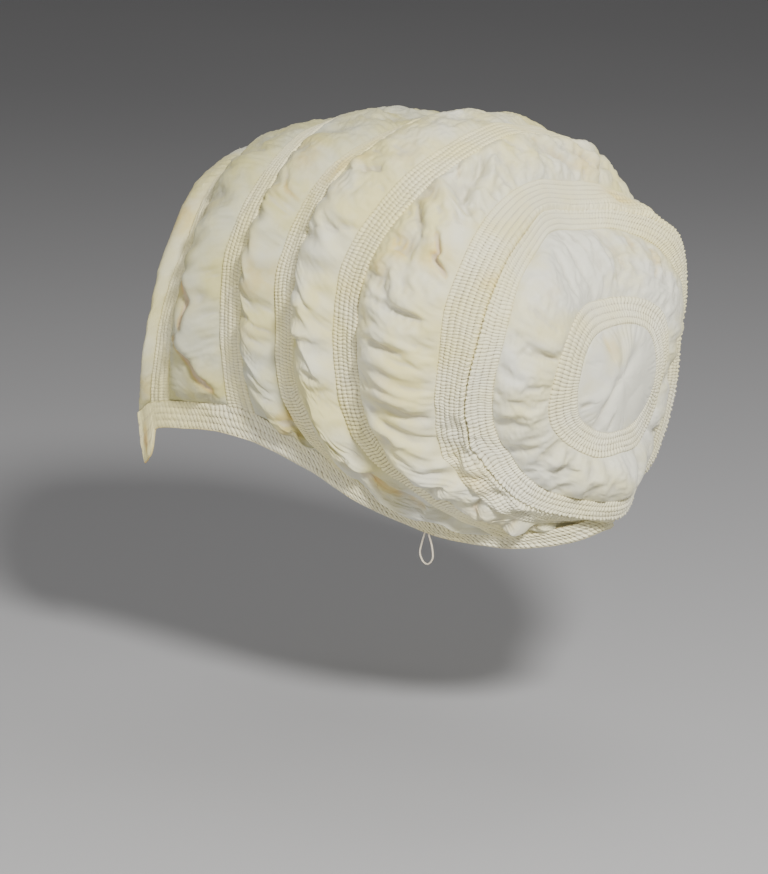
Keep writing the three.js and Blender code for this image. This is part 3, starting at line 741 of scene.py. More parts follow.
def to_path(points, normals, path):
    """For every grid point: how far it is from a path, on which side, and how far along it."""
    nearest = np.full(points.shape[:2], np.inf)
    side = np.zeros(points.shape[:2])
    along = np.zeros(points.shape[:2])
    lengths = np.linalg.norm(np.diff(path, axis=0), axis=1)
    starts = np.concatenate([[0], np.cumsum(lengths)])
    for a, b, length, start in zip(path[:-1], path[1:], lengths, starts):
        way = (b - a) / max(length, 1e-6)
        share = np.clip((points - a) @ way, 0, length)
        off = points - (a + share[..., None] * way)
        gap = np.linalg.norm(off, axis=-1)
        closer = gap < nearest
        turn = np.einsum("ijk,ijk->ij", np.cross(np.broadcast_to(way, off.shape), off), normals)
        side = np.where(closer, np.sign(turn), side)
        along = np.where(closer, (start + share) / starts[-1], along)
        nearest = np.minimum(nearest, gap)
    return nearest, side, along


def folds_of(name, closed):
    """The folds of a puff, with softer ones of the same kind on the side the photograph hides."""
    folds = list(FOLDS.get(name, []))
    if not closed:
        rng = np.random.default_rng(len(name) * 7 + 3)
        for points, width, depth, fold_stain_and_shade in FOLDS.get(name, []):
            if points[0][0] > 0.54:
                slide = rng.uniform(-0.02, 0.02)
                mirrored = [(min(max(1 - u + slide, 0), 1), v) for u, v in points]
                folds.append((mirrored, width, depth * FAR_SIDE_SHARE, fold_stain_and_shade * FAR_SIDE_SHARE))
    return folds


def fold_offset(name, base, normals, closed):
    """The folds' height and the brown along their deep lines, partly stain and partly painted shade, at
    every grid point: a valley with one raised lip.
    """
    height = np.zeros(base.shape[:2])
    fold_stain_and_shade = np.zeros(base.shape[:2])
    for points, width, fall, tint in folds_of(name, closed):
        path = np.array([at_share(base, u, v, closed) for u, v in points])
        gap, side, along = to_path(base, normals, path)
        taper = np.sin(np.pi * (0.12 + 0.76 * along)).clip(0) ** 0.7
        reach = 1.25 * width * (0.6 + 0.4 * taper)
        valley = np.exp(-(gap / reach) ** 2)
        lip = np.exp(-((gap * side - 1.9 * reach) / (1.5 * reach)) ** 2)
        height += 1.5 * fall * taper * (0.75 * lip - valley)
        fold_stain_and_shade = np.maximum(fold_stain_and_shade, tint * taper * np.exp(-(gap / (0.95 * width)) ** 2))
    return height, fold_stain_and_shade


def stain_field(name, base, closed):
    field = np.zeros(base.shape[:2])
    for u, v, radius, strength in STAINS.get(name, []):
        gap = np.linalg.norm(base - at_share(base, u, v, closed), axis=-1)
        field = np.maximum(field, strength * np.exp(-(gap / radius) ** 2))
    return field


GATHER_PITCH, GATHER_DRIFT = 4.4, 3.6


def seam_gathers(run, across, width, pull, seed, wrap_length, closed):
    """Short creases that run from a seam into the puff, uneven in spacing, depth and reach."""
    cell, turns = wrapped(11, wrap_length, closed)
    drift = GATHER_DRIFT * value_noise(run / cell, 0 * run + 0.5, seed, turns)
    pitch = wrap_length / round(wrap_length / GATHER_PITCH) if closed else GATHER_PITCH
    crease = (0.5 + 0.5 * np.cos(2 * np.pi * (run + drift) / pitch)) ** 3
    cell, turns = wrapped(7, wrap_length, closed)
    strength = 0.95 + 1.5 * value_noise(run / cell, 0 * run + 3.5, seed + 1, turns)
    reach = 5.2 + 3.6 * value_noise(run / cell, 0 * run + 7.5, seed + 2, turns)
    edge = np.exp(-(across / np.minimum(reach, width / 3)) ** 1.2)
    return -crease * strength.clip(0, 2) * pull * edge * (1 - np.exp(-across / 0.7))


CRUSHED_AT = (76, 60, -157)
CRUSHED_REACH, CRUSHED_DEPTH = 20, 3.4
SWAY, NOISE_START = 0.9, 40


# How far the hidden side of the crest sinks, at places along the bonnet, in millimetres.
CREST_PLACES = [-170, -120, -90, -40, 0, 40, 80, 120]
CREST_DROPS = [2.5, 2, 0.5, 1.5, 3, 4.5, 3.8, 3]
FACE_DROP, FACE_BACK = 3, 3
CORNER_LIFT, CORNER_IN = 4.5, 4


def sagged(points):
    """The crest as soft cloth lies on a head: lower on the hidden side and at the face edge."""
    x, y, z = points[..., 0], points[..., 1], points[..., 2]
    hidden_crest = smoothstep(-x, -15, 20) * smoothstep(z, -95, -30)
    drop = np.interp(y, CREST_PLACES, CREST_DROPS) * hidden_crest
    face = np.exp(-((x - 35) / 30) ** 2) * smoothstep(-y, 105, 150) * smoothstep(z, -130, -60)
    back = smoothstep(-y, 120, 158) * smoothstep(z, -162, -130)
    corner = np.exp(-((x + 34) / 22) ** 2 - ((z + 196) / 22) ** 2) * smoothstep(y, 72, 98)
    lift = CORNER_LIFT * corner - drop - FACE_DROP * face
    return points + np.stack([0 * z, FACE_BACK * back - CORNER_IN * corner, lift], axis=-1)


def noise_vectors(*rows, seed):
    """Noise in three directions; each row is two coordinates with the cell size of each."""
    return np.stack([
        value_noise(a / cell_a + NOISE_START, b / cell_b + NOISE_START, seed + i)
        for i, (a, cell_a, b, cell_b) in enumerate(rows)], axis=-1)


def sway(points):
    """Small drifts of hand sewing, the same for all the pieces that meet at a place."""
    points = sagged(points)
    x, y, z = points[..., 0], points[..., 1], points[..., 2]
    drift = noise_vectors((y, 26, z, 26), (z, 24, x, 24), (x, 25, y, 25), seed=71)
    wrinkle = noise_vectors((y, 7, z, 7), (z, 6, x, 9), (y, 8, z, 6), seed=81)
    crushed = np.exp(-(np.linalg.norm(points - CRUSHED_AT, axis=-1) / CRUSHED_REACH) ** 2)
    return points + SWAY * drift + CRUSHED_DEPTH * crushed[..., None] * wrinkle


# How far a sheet runs on past its seams and how far that hem sinks, in millimetres.
PUFF_HEM, BAND_HEM = (1.1, 0.9), (0.5, 0.8)
FOOT_HEM = 1.5


def beyond(edge, inside, normal, reach, sink):
    """The hem row past an edge, away from the row inside it and under the sheet beside it."""
    return edge + unit(edge - inside) * reach - normal * sink


def with_hems(points, normals, closed, hem):
    """Adds a row beyond each seam, tucked under the neighbouring sheet, and tucks the feet too."""
    reach, sink = hem
    first = beyond(points[:, 0], points[:, 2], normals[:, 0], reach, sink)
    last = beyond(points[:, -1], points[:, -3], normals[:, -1], reach, sink)
    points = np.concatenate([first[:, None], points, last[:, None]], axis=1)
    if closed:
        return points
    normals = np.concatenate([normals[:, :1], normals, normals[:, -1:]], axis=1)
    low = beyond(points[0], points[2], normals[0], reach * FOOT_HEM, sink)
    high = beyond(points[-1], points[-3], normals[-1], reach * FOOT_HEM, sink)
    return np.concatenate([low[None], points, high[None]], axis=0)


# The turned face edge: shares of the way back inside, then degrees round the roll.
ROLL_RADIUS, ROLL_BACK = 1.3, 7.0
ROLL_SHARES, ROLL_TURNS = (1.0, 0.55, 0.1), (150, 115, 80, 45, 15)
ROLL_ROWS = len(ROLL_SHARES) + len(ROLL_TURNS)


def with_roll(points, normals):
    """Turns the cloth at the face edge over a soft roll and a few millimetres back inside."""
    inward = unit(points[:, 4] - points[:, 1])
    out = normals[:, 1]
    rows = []
    for share in ROLL_SHARES:
        rows.append(points[:, 0] + inward * ROLL_BACK * share - out * 2 * ROLL_RADIUS)
    for turn in np.radians(ROLL_TURNS):
        rows.append(points[:, 0] - inward * np.sin(turn) * ROLL_RADIUS
                    - out * (1 - np.cos(turn)) * ROLL_RADIUS)
    return np.concatenate([np.stack(rows, axis=1), points], axis=1)


def hemmed(grid, closed):
    """Repeats a grid's outer values for the rows that its hems add."""
    grid = np.concatenate([grid[:, :1], grid, grid[:, -1:]], axis=1)
    return grid if closed else np.concatenate([grid[:1], grid, grid[-1:]], axis=0)


def run_lengths(points, closed):
    """Millimetres along the middle row, and the length of the whole run."""
    middle = points[:, points.shape[1] // 2]
    steps = np.linalg.norm(np.diff(middle, axis=0), axis=1)
    run = np.concatenate([[0], np.cumsum(steps)])
    total = run[-1] + (np.linalg.norm(middle[0] - middle[-1]) if closed else 0)
    return run, total


def sheet_base(seams, closed, columns, rows):
    u = np.linspace(0, 1, columns, endpoint=not closed)
    v = np.linspace(0, 1, rows)
    base, normals = strip(seams[0], seams[1], u, v, closed)
    return u, v, base, normals


def seam_length(seams, closed):
    return run_lengths(sheet_base(seams, closed, *ROUGH_GRID)[2], closed)[1]


def hollow_share(hollow, full):
    """From -0.5 on a ridge to 1 where the cloth is as hollow as full, in millimetres."""
    return (hollow / full).clip(-0.5, 1)


ROUGH_GRID = (200, 9)
PUFF_STEP = 0.95
PUFF_ROWS = 41
PUFF_HOLLOW, BAND_HOLLOW = 0.9, 0.7

# The cloth settles twice: broad folds on a coarse grid, then small ones on a fine grid.
# For each: grid step, rows, share of the spare cloth and size of the first ripples.
SIM_LEVELS = [(3.0, 14, 1.0, 26), (1.6, 25, 0.14, 12)]
CRUSH_STOPS = [0, 0.08, 0.22, 0.45, 0.7, 1]
GATHER_STOPS, GATHER_PULL, CLOSED_PULL = [0, 0.15, 0.6, 1], [0.6, 1.1, 1.15, 1.15], 1.15


def puff_piece(name, seams, closed, material, seed):
    """One gathered puff: settled cloth, the photograph's folds and the short creases at its seams."""
    puff = PUFFS[name]
    length = seam_length(seams, closed)
    settled = None
    for step, rows, share, cell in SIM_LEVELS:
        u, v, base, normals = sheet_base(seams, closed, int(length / step), rows)
        if settled is None:
            run, total = run_lengths(base, closed)
            across = v[None, :] * np.linalg.norm(base[:, -1] - base[:, 0], axis=1)[:, None]
            crush = billows(run[:, None], across, total, closed, seed + 50, 60 if closed else 34)
            crush = crush * np.sin(np.pi * v)[None, :].clip(0) ** 0.5 * puff["crush"]
            if closed:
                crush = crush * (1 - 0.8 * far_share(u))[:, None]
            else:
                from_crest = np.abs(u - 0.5) * np.where(u < 0.5, 1.3, 2)
                profile = [0.2, 0.35, 1.1 * puff["high"], 1, 1, puff["low"]]
                crush = crush * np.interp(from_crest, CRUSH_STOPS, profile)[:, None]
            height = pillow_height(puff, u, v, closed) + crush + 0.25
            goal = base + normals * height[..., None]
        else:
            goal = finer(settled, len(u), rows, closed)
        long, wide = (1 + (size - 1) * share for size in (puff["long"], puff["wide"]))
        settled = settle(base, normals, goal, long, wide, closed, seed, cell)
    columns = int(length / PUFF_STEP)
    points = finer(settled, columns, PUFF_ROWS, closed)
    u, v, base, normals = sheet_base(seams, closed, columns, PUFF_ROWS)
    run, total = run_lengths(base, closed)
    width = np.linalg.norm(base[:, -1] - base[:, 0], axis=1)[:, None]
    depth, fold_stain_and_shade = fold_offset(name, points, normals, closed)
    inner = np.sin(np.pi * v)[None, :].clip(0) ** 0.35
    pull = CLOSED_PULL if closed else np.interp(
        np.abs(u - 0.5) * 2, GATHER_STOPS, GATHER_PULL)[:, None]
    for side, across in ((0, v[None, :] * width), (10, (1 - v[None, :]) * width)):
        gathers = seam_gathers(run[:, None], across, width, pull, seed + side, total, closed)
        depth = depth + gathers * min(1, puff["bulge"] / 8)
    points = points + normals * (depth * inner)[..., None]
    hollow = hollowness(points, normals, closed, 14)
    cavity = hollow_share(hollow, PUFF_HOLLOW)
    # Brown marks: the real stains, and the folds' brown lines, which are partly stain and partly painted
    # shade.
    stain_and_shade = np.maximum(stain_field(name, base, closed), fold_stain_and_shade)
    uv = np.stack(np.broadcast_arrays(run[:, None], v[None, :] * width), axis=-1)
    uv = hemmed(uv, closed)
    warm = np.broadcast_to(warmth(name, u), stain_and_shade.shape)
    values = {
        "stain_and_shade": hemmed(stain_and_shade, closed),
        "cavity": hemmed(cavity, closed),
        "warm": hemmed(warm, closed),
        "thin": hemmed(np.full(stain_and_shade.shape, THIN.get(name, 0.0)), closed),
    }
    whole = with_hems(points, normals, closed, PUFF_HEM)
    if name == "face_edge_puff":
        whole = with_roll(whole[:, 1:], hemmed(normals, closed)[:, 1:])
        rolled = [uv[:, :1] - (0, ROLL_ROWS - 1 - i) for i in range(ROLL_ROWS)]
        uv = np.concatenate(rolled + [uv[:, 1:]], axis=1)
        values = {
            key: np.concatenate([np.repeat(grid[:, :1], ROLL_ROWS, axis=1), grid[:, 1:]], axis=1)
            for key, grid in values.items()}
    piece = grid_mesh(name, sway(whole), closed, uv, values, material)
    register(piece, name)
    return piece


CORD_ROWS = 5
BAND_STEP = 0.36
BAND_SINK = 0.35

# The crown seam: its groove, and the puckers beside it.
SEAM_DEPTH, SEAM_WIDTH = 2.2, 0.9
PUCKER_HEIGHT, PUCKER_REACH, PUCKER_PITCH = 0.6, 2.4, 2.7


def cord_shape(v, cords):
    """Round cords in stitched channels: 1 on a cord, 0 on a line of stitches."""
    return np.abs(np.sin(np.pi * cords * v)).clip(0) ** 0.62


def ruching(run, v, cords, total, closed, seed, pitch):
    """The phase of the small ridges that the drawn-up cloth makes across the cords."""
    pitch = total / round(total / pitch) if closed else pitch
    cell, turns = wrapped(14, total, closed)
    drift = 1.3 * value_noise(run / cell, v * 2.0, seed, turns)
    cell, turns = wrapped(5, total, closed)
    drift = drift + 0.6 * value_noise(run / cell, v * cords + 0.5, seed + 1, turns)
    return 2 * np.pi * (run + drift) / pitch


def band_relief(run, v, cords, pull, total, closed, seed, pitch):
    """Height of the corded cloth over the band's middle, with the ridge phase."""
    shape = cord_shape(v, cords)
    phase = ruching(run, v, cords, total, closed, seed, pitch)
    trough = 0.5 - 0.5 * np.cos(phase)
    cell, turns = wrapped(11, total, closed)
    slack = value_noise(run / cell, v * cords * 0.8, seed + 2, turns)
    cell, turns = wrapped(3.4, total, closed)
    uneven = value_noise(run / cell, v * cords + 0.5, seed + 3, turns)
    relief = CORD_RELIEF * shape * (1 + 0.15 * slack + 0.2 * uneven)
    return relief - pull * trough * (0.16 + 0.32 * shape) + 0.35 * slack, phase


def band_piece(name, seams, closed, material, seed, grooved=None):
    """One corded band; grooved is the share across, 0 or 1, where it meets the crown seam."""
    band = BANDS[name]
    cords = band["cords"]
    rows = cords * CORD_ROWS + 1
    length = seam_length(seams, closed)
    u, v, base, normals = sheet_base(seams, closed, int(length / BAND_STEP), rows)
    run, total = run_lengths(base, closed)
    pull = np.interp(u, np.linspace(0, 1, len(band["pull"])), band["pull"])[:, None]
    run, v = run[:, None], v[None, :]
    relief, phase = band_relief(run, v, cords, pull, total, closed, seed, band["pitch"])
    height = CORDED_WALL / 2 - BAND_SINK + relief
    if grooved is not None:
        from_seam = np.abs(v - grooved) * cords * CORD_PITCH
        cell, turns = wrapped(7, total, closed)
        pitch = total / round(total / PUCKER_PITCH)
        drift = 1.2 * value_noise(run / cell, v * 0 + 0.5, seed + 5, turns)
        pucker = np.cos(2 * np.pi * (run + drift) / pitch)
        height = height - SEAM_DEPTH * np.exp(-(from_seam / SEAM_WIDTH) ** 2)
        height = height + PUCKER_HEIGHT * pucker * np.exp(-(from_seam / PUCKER_REACH) ** 2)
    height = height + crumple(name, u[:, None], v, run)
    points = base + normals * height[..., None]
    hollow = hollowness(points, normals, closed, 6)
    stain_and_shade = stain_field(name, base, closed)
    uv = np.stack(np.broadcast_arrays(run, v * cords), axis=-1)
    uv = hemmed(uv, closed)
    stitch = np.broadcast_to(band["stitch"] * (0.35 + 0.65 * pull), hollow.shape)
    values = {
        "stain_and_shade": hemmed(stain_and_shade, closed),
        "cavity": hemmed(hollow_share(hollow, BAND_HOLLOW), closed),
        "phase": hemmed(phase, closed),
        "pull": hemmed(np.broadcast_to(pull, hollow.shape), closed),
        "stitched": hemmed(stitch, closed),
        "warm": hemmed(np.broadcast_to(warmth(name, u), hollow.shape), closed),
    }
    whole = sway(with_hems(points, normals, closed, BAND_HEM))
    piece = grid_mesh(name, whole, closed, uv, values, material)
    register(piece, name)
    return piece


# Where the crown band is crushed over the ear: place (u, v), reach in millimetres and height.
CRUMPLES = {
    "crown_band": [
        (0.835, 0.35, 5, -1.4), (0.85, 0.75, 4, 1.2), (0.865, 0.3, 4.5, 1.4), (0.88, 0.7, 4, -1.5),
        (0.895, 0.3, 5, 1.5), (0.90, 0.85, 4, 1.0), (0.915, 0.5, 5, -1.3), (0.42, 0.4, 6, -1.2),
        (0.40, 0.7, 6, 1.2), (0.44, 0.6, 5, 0.9), (0.13, 0.5, 5, -1.2), (0.15, 0.3, 5, 1.1),
    ],
    "corded_band_4": [(0.80, 0.8, 5, -0.8), (0.84, 0.3, 5, 0.8)],
}


def crumple(name, u, v, run):
    """Soft lumps and dents at named places of a band."""
    height = np.zeros(np.broadcast_shapes(run.shape, v.shape))
    total = run[-1, 0]
    for at_u, at_v, reach, lift in CRUMPLES.get(name, []):
        gap = ((u - at_u) * total) ** 2 + ((v - at_v) * 18) ** 2
        height = height + 2.1 * lift * np.exp(-gap / reach ** 2)
    return height


NECK_GAP = 0.1

# How far the nape end of the band's upper and lower edge lies further back and up.
NAPE_TOP, NAPE_LOW = np.array([0, 9.5, 6.5]), np.array([0, 6.5, 2.5])
EAR_WIDTH = 13
NECK_STEPS = 176
NECK_SLANT = 1.4
EDGE_ROUND = 7
END_ROUND = 1.6
NECK_WALL = 0.75
BACK_ROWS = 9
CORNER_CURL, CORNER_REACH, TIP_REACH = 1.8, 9, 14


def neck_lines():
    """Upper and lower edge of the neck band, from the right front corner to the left one."""
    side = np.linspace(-1, 1, NECK_STEPS + 1)
    index = (len(NECK_LINE) - 1) * (1 - np.abs(side))
    top = neck_point(index)
    low = top.copy()
    from_corner = np.linalg.norm(top - neck_point(0.0), axis=1)
    in_ear = 1 - smoothstep(from_corner, 1.05 * EAR_WIDTH, 1.35 * EAR_WIDTH)
    corners = np.minimum(1, np.abs(2 * from_corner / EAR_WIDTH - 1)) ** 4
    depth = np.maximum(neck_column(3, index), (NECK_LINE[0, 3] - 2 * corners) * in_ear)
    low[:, 2] -= depth
    low[:, 0] = np.maximum(low[:, 0] - neck_column(4, index), 0)
    nape = smoothstep(index, 7, len(NECK_LINE) - 1.2)[:, None]
    top = top + nape * NAPE_TOP
    low = low + nape * NAPE_LOW
    for line in (top, low):
        line[:, 0] *= np.sign(side)
    way = low - top
    top = top + way * NECK_GAP / np.linalg.norm(way, axis=1, keepdims=True)
    return top, low


def neck_piece(material, seed):
    """The corded neck band: one doubled strip whose lower edge is folded up inside."""
    name = "neck_band"
    band = BANDS[name]
    cords = band["cords"]
    top, low = neck_lines()
    edge_out = outward(top, top, low)
    rows = cords * CORD_ROWS + 1
    length = np.linalg.norm(np.diff(top, axis=0), axis=1).sum()
    columns = int(length / BAND_STEP)
    u = np.linspace(0, 1, columns)
    line_a, line_b = dense(top, u, False), dense(low, u, False)
    normals = unit(dense(edge_out, u, False))
    run = np.concatenate([[0], np.cumsum(np.linalg.norm(np.diff(line_a, axis=0), axis=1))])[:, None]
    v = np.linspace(0, 1, rows)[None, :]
    reach = np.abs(u - 0.5)[:, None] * 2
    pull = np.interp(1 - reach, [0, 0.1, 0.17, 0.27, 0.4, 1], [0.1, 0.2, 0.7, 1.2, 1.4, 1.4])
    deep = np.linalg.norm(line_b - line_a, axis=1)[:, None]
    slant = NECK_SLANT * (1 - reach) * deep * v * np.sign(u - 0.5)[:, None]
    relief, phase = band_relief(run + slant, v, cords, pull, length, False, seed, band["pitch"])
    flatter = np.interp(1 - reach, [0, 0.16, 0.34], [0.5, 0.65, 1.0])
    from_end = (1 - reach) * length / 2
    cap = np.sqrt(1 - (1 - (from_end / END_ROUND).clip(0, 1)) ** 2)
    height = (CORDED_WALL / 2 - BAND_SINK + relief * flatter) * cap
    outer = line_a[:, None] + (line_b - line_a)[:, None] * v[..., None]
    turn = np.linspace(0, np.pi, EDGE_ROUND)[None, :]
    down = unit(line_b - line_a)[:, None]
    wall = NECK_WALL * cap[..., None]
    out = normals[:, None]
    swing = down * np.sin(turn)[..., None] * wall * 1.2 + out * np.cos(turn)[..., None] * wall
    edge = line_b[:, None] + swing
    back_share = np.linspace(0.97, 0.02, BACK_ROWS)[None, :]
    back = line_a[:, None] + (line_b - line_a)[:, None] * back_share[..., None] - out * wall
    faces = outer + out * height[..., None]
    points = np.concatenate([faces, edge[:, 1:], back], axis=1)
    corner = np.exp(-(from_end / CORNER_REACH) ** 2)
    below = np.concatenate([v, np.full((1, EDGE_ROUND - 1), 1.0), back_share], axis=1) ** 2
    inward = np.array([-1.0, 0, 0]) * np.sign(u - 0.5)[:, None, None] + np.array([0, 0.35, 0])
    points = points + inward * (corner * below * CORNER_CURL)[..., None]
    lump = value_noise(run / 5, np.linspace(0, 4, points.shape[1])[None, :], seed + 9)
    points = points + out * (lump * (0.25 + 0.8 * corner))[..., None]
    extra = points.shape[1] - rows

    def pad(grid, end):
        """Values of the outer face, with one value for the folded edge and the back."""
        face = np.broadcast_to(grid, (columns, rows))
        return np.concatenate([face, np.full((columns, extra), end)], axis=1)

    hollow = hollowness(faces, np.broadcast_to(out, faces.shape), False, 6)
    tip = np.exp(-(from_end / TIP_REACH) ** 2)
    # Brown marks on the neck band: a faint brown tint over the face and a brown patch low on it near each
    # end. Painted shade: the folded edge and the back are painted brown, darkest near the tips, where the
    # inside of the ear shows.
    stain_and_shade = pad(0 * v + 0.05, 0.0)
    stain_and_shade[:, :rows] += 0.8 * np.exp(-((from_end - 12.5) / 4.5) ** 2 - ((v - 0.62) / 0.22) ** 2)
    stain_and_shade[:, rows:] = 0.25 + 0.6 * tip
    # Painted shade: the folded edge and the back also take a fixed share of the hollows' painted shade.
    values = {
        "stain_and_shade": stain_and_shade,
        "cavity": pad(hollow_share(hollow, BAND_HOLLOW), 0.3),
        "phase": np.concatenate([phase, np.repeat(phase[:, -1:], extra, axis=1)], axis=1),
        "pull": pad(pull, 0.3),
        "stitched": pad(band["stitch"] * (0.3 + 0.7 * pull), 0.0),
        "warm": np.broadcast_to(warmth(name, u), points.shape[:2]),
    }
    across = np.concatenate([v * cords, np.full((1, extra), cords + 0.5)], axis=1)
    uv = np.stack(np.broadcast_arrays(run, across), axis=-1)
    piece = grid_mesh(name, sway(points), False, uv, values, material)
    register(piece, name)
    return piece


CENTRE_RINGS, CENTRE_COLUMNS = 42, 300
CENTRE_BROAD, CENTRE_PULL = 2.2, 0.8


def rim_hemmed(grid):
    """Repeats a disc's rim values for its one hem row."""
    return np.concatenate([grid[:, :1], grid], axis=1)


def centre_piece(material, seed):
    """The puff inside the inner ring: a disc that runs from its rim to one point."""
    name = "tip_centre"
    puff = TIP_CENTRE
    rim = oval_lines[3]
    centre = rim.mean(axis=0)
    axis = unit(np.cross(rim - centre, np.roll(rim, -1, axis=0) - centre).sum(axis=0))
    u = np.linspace(0, 1, CENTRE_COLUMNS, endpoint=False)
    edge = dense(rim, u, True)
    edge_out = unit(dense(closed_seams[3]["normals"], u, True))
    v = np.linspace(0, 1, CENTRE_RINGS)[None, :, None]
    base = mix(edge[:, None], centre, v)
    normals = unit(mix(edge_out[:, None], axis, v))
    share = v[..., 0]
    rise = np.sin(np.pi / 2 * share) ** PILLOW * puff["bulge"]
    soft = puff["fold"] * np.sin(np.pi * share) * gather(u[:, None], puff["folds"], puff["phase"])
    noise = value_noise(base[..., 0] / 13 + 20, base[..., 2] / 20 + 20, seed)
    broad = CENTRE_BROAD * np.abs(noise) ** 0.85
    broad = (broad - 0.9) * np.sin(np.pi / 2 * share)
    points = base + normals * (rise + soft + broad + 0.3)[..., None]
    depth, fold_stain_and_shade = fold_offset(name, points, normals, True)
    run, total = run_lengths(base[:, :1], True)
    width = np.linalg.norm(edge - centre, axis=1)[:, None]
    gathers = seam_gathers(run[:, None], share * width, width, CENTRE_PULL, seed + 4, total, True)
    inner = np.minimum(1, share * 12)
    points = points + normals * ((depth + gathers) * inner)[..., None]
    hollow = hollowness(points, normals, True, 10)
    # Brown marks: the real stains, and the folds' brown lines, which are partly stain and partly painted
    # shade.
    stain_and_shade = np.maximum(stain_field(name, base, True), fold_stain_and_shade)
    flat_x = (base - centre) @ unit(edge[0] - centre)
    flat_y = (base - centre) @ unit(edge[CENTRE_COLUMNS // 4] - centre)
    uv = np.stack([flat_x, flat_y], axis=-1)
    first = beyond(points[:, 0], points[:, 2], normals[:, 0], *PUFF_HEM)
    points = np.concatenate([first[:, None], points], axis=1)
    uv = rim_hemmed(uv)
    values = {
        "stain_and_shade": rim_hemmed(stain_and_shade),
        "cavity": rim_hemmed(hollow_share(hollow, PUFF_HOLLOW)),
        "warm": rim_hemmed(np.broadcast_to(warmth(name, u), stain_and_shade.shape)),
        "thin": rim_hemmed(np.zeros(stain_and_shade.shape)),
    }
    piece = grid_mesh(name, sway(points), True, uv, values, material)
    register(piece, name)
    return piece


# Materials

class Graph:
    """Short names for the shader nodes of one material."""

    def __init__(self, name):
        self.material = bpy.data.materials.new(name)
        self.material.use_nodes = True
        self.tree = self.material.node_tree
        self.shader = self.tree.nodes["Principled BSDF"]

    def node(self, kind, **settings):
        made = self.tree.nodes.new(kind)
        for key, value in settings.items():
            setattr(made, key, value)
        return made

    def put(self, socket, value):
        if hasattr(value, "is_output"):
            self.tree.links.new(value, socket)
        else:
            socket.default_value = value

    def attribute(self, name):
        return self.node("ShaderNodeAttribute", attribute_name=name).outputs["Fac"]

    def math(self, operation, a, b=0.0, c=0.0):
        made = self.node("ShaderNodeMath", operation=operation)
        for socket, value in zip(made.inputs, (a, b, c)):
            self.put(socket, value)
        return made.outputs[0]

    def range(self, value, low, high, out_low=0.0, out_high=1.0, smooth=True):
        made = self.node("ShaderNodeMapRange", interpolation_type="SMOOTHSTEP" if smooth else "LINEAR")
        for socket, given in zip(made.inputs, (value, low, high, out_low, out_high)):
            self.put(socket, given)
        return made.outputs[0]

    def blend(self, factor, a, b, mode="MIX"):
        made = self.node("ShaderNodeMix", data_type="RGBA", blend_type=mode)
        self.put(made.inputs["Factor"], factor)
        for key, value in (("A", a), ("B", b)):
            socket = [s for s in made.inputs if s.name == key and s.type == "RGBA"][0]
            self.put(socket, value)
        return [s for s in made.outputs if s.type == "RGBA"][0]

    def noise(self, scale, detail=2.0, roughness=0.5, stretch=None, source="Object"):
        coordinates = self.node("ShaderNodeTexCoord").outputs[source]
        if stretch:
            mapping = self.node("ShaderNodeMapping")
            self.put(mapping.inputs["Vector"], coordinates)
            mapping.inputs["Scale"].default_value = stretch
            coordinates = mapping.outputs[0]
        made = self.node("ShaderNodeTexNoise")
        self.put(made.inputs["Vector"], coordinates)
        made.inputs["Scale"].default_value = scale
        made.inputs["Detail"].default_value = detail
        made.inputs["Roughness"].default_value = roughness
        return made.outputs["Fac"]

    def cloth_axes(self):
        made = self.node("ShaderNodeSeparateXYZ")
        self.put(made.inputs[0], self.node("ShaderNodeUVMap", uv_map="cloth").outputs[0])
        return made.outputs[0], made.outputs[1]

    def bump(self, height, distance, strength=1.0, normal=None):
        made = self.node("ShaderNodeBump")
        made.inputs["Strength"].default_value = strength
        made.inputs["Distance"].default_value = distance
        self.put(made.inputs["Height"], height)
        if normal is not None:
            self.put(made.inputs["Normal"], normal)
        return made.outputs[0]


THREAD_PITCH = 0.34
COOL_SILK = (0.76, 0.75, 0.63, 1)
WARM_SILK = (0.76, 0.695, 0.33, 1)
THIN_SHADE = (0.72, 0.735, 0.70, 1)
STAIN_AND_SHADE_BROWN = (0.62, 0.39, 0.16, 1)
STAIN_AND_SHADE_EDGE = (0.95, 0.84, 0.60, 1)
FOLD_SHADE = (0.52, 0.50, 0.41, 1)
COOL_BAND = (0.87, 0.845, 0.68, 1)
WARM_BAND = (0.87, 0.795, 0.40, 1)
STITCH_SHADE_BROWN = (0.40, 0.30, 0.17, 1)
CREASE_SHADE_BROWN = (0.60, 0.51, 0.32, 1)


def weave(graph, along, across):
    """A plain weave: threads over and under, with uneven thick ones across."""
    warp = graph.math("SINE", graph.math("MULTIPLY", along, 2 * np.pi / THREAD_PITCH))
    weft = graph.math("SINE", graph.math("MULTIPLY", across, 2 * np.pi / THREAD_PITCH))
    return graph.math("MULTIPLY", warp, weft)


def stained_and_shaded_colour(graph, colour, stain_and_shade, cavity):
    """Yellow-brown marks over a cloth colour, from stains and from painted shade along fold lines, and
    painted shade in the hollows of the cloth.
    """
    patch = graph.noise(95.0, 3.0, 0.55)
    spread = graph.math("MULTIPLY", stain_and_shade, graph.range(patch, 0.25, 0.7, 0.45, 1.25))
    colour = graph.blend(graph.range(spread, 0.02, 0.4, 0.0, 1.0), colour, STAIN_AND_SHADE_EDGE, "MULTIPLY")
    colour = graph.blend(graph.range(spread, 0.22, 0.85, 0.0, 0.7), colour, STAIN_AND_SHADE_BROWN)
    # Painted shade: the deeper the cloth lies under the cloth around it, the nearer its colour comes to
    # FOLD_SHADE.
    return graph.blend(graph.range(cavity, 0.06, 0.9, 0.0, 0.5), colour, FOLD_SHADE)


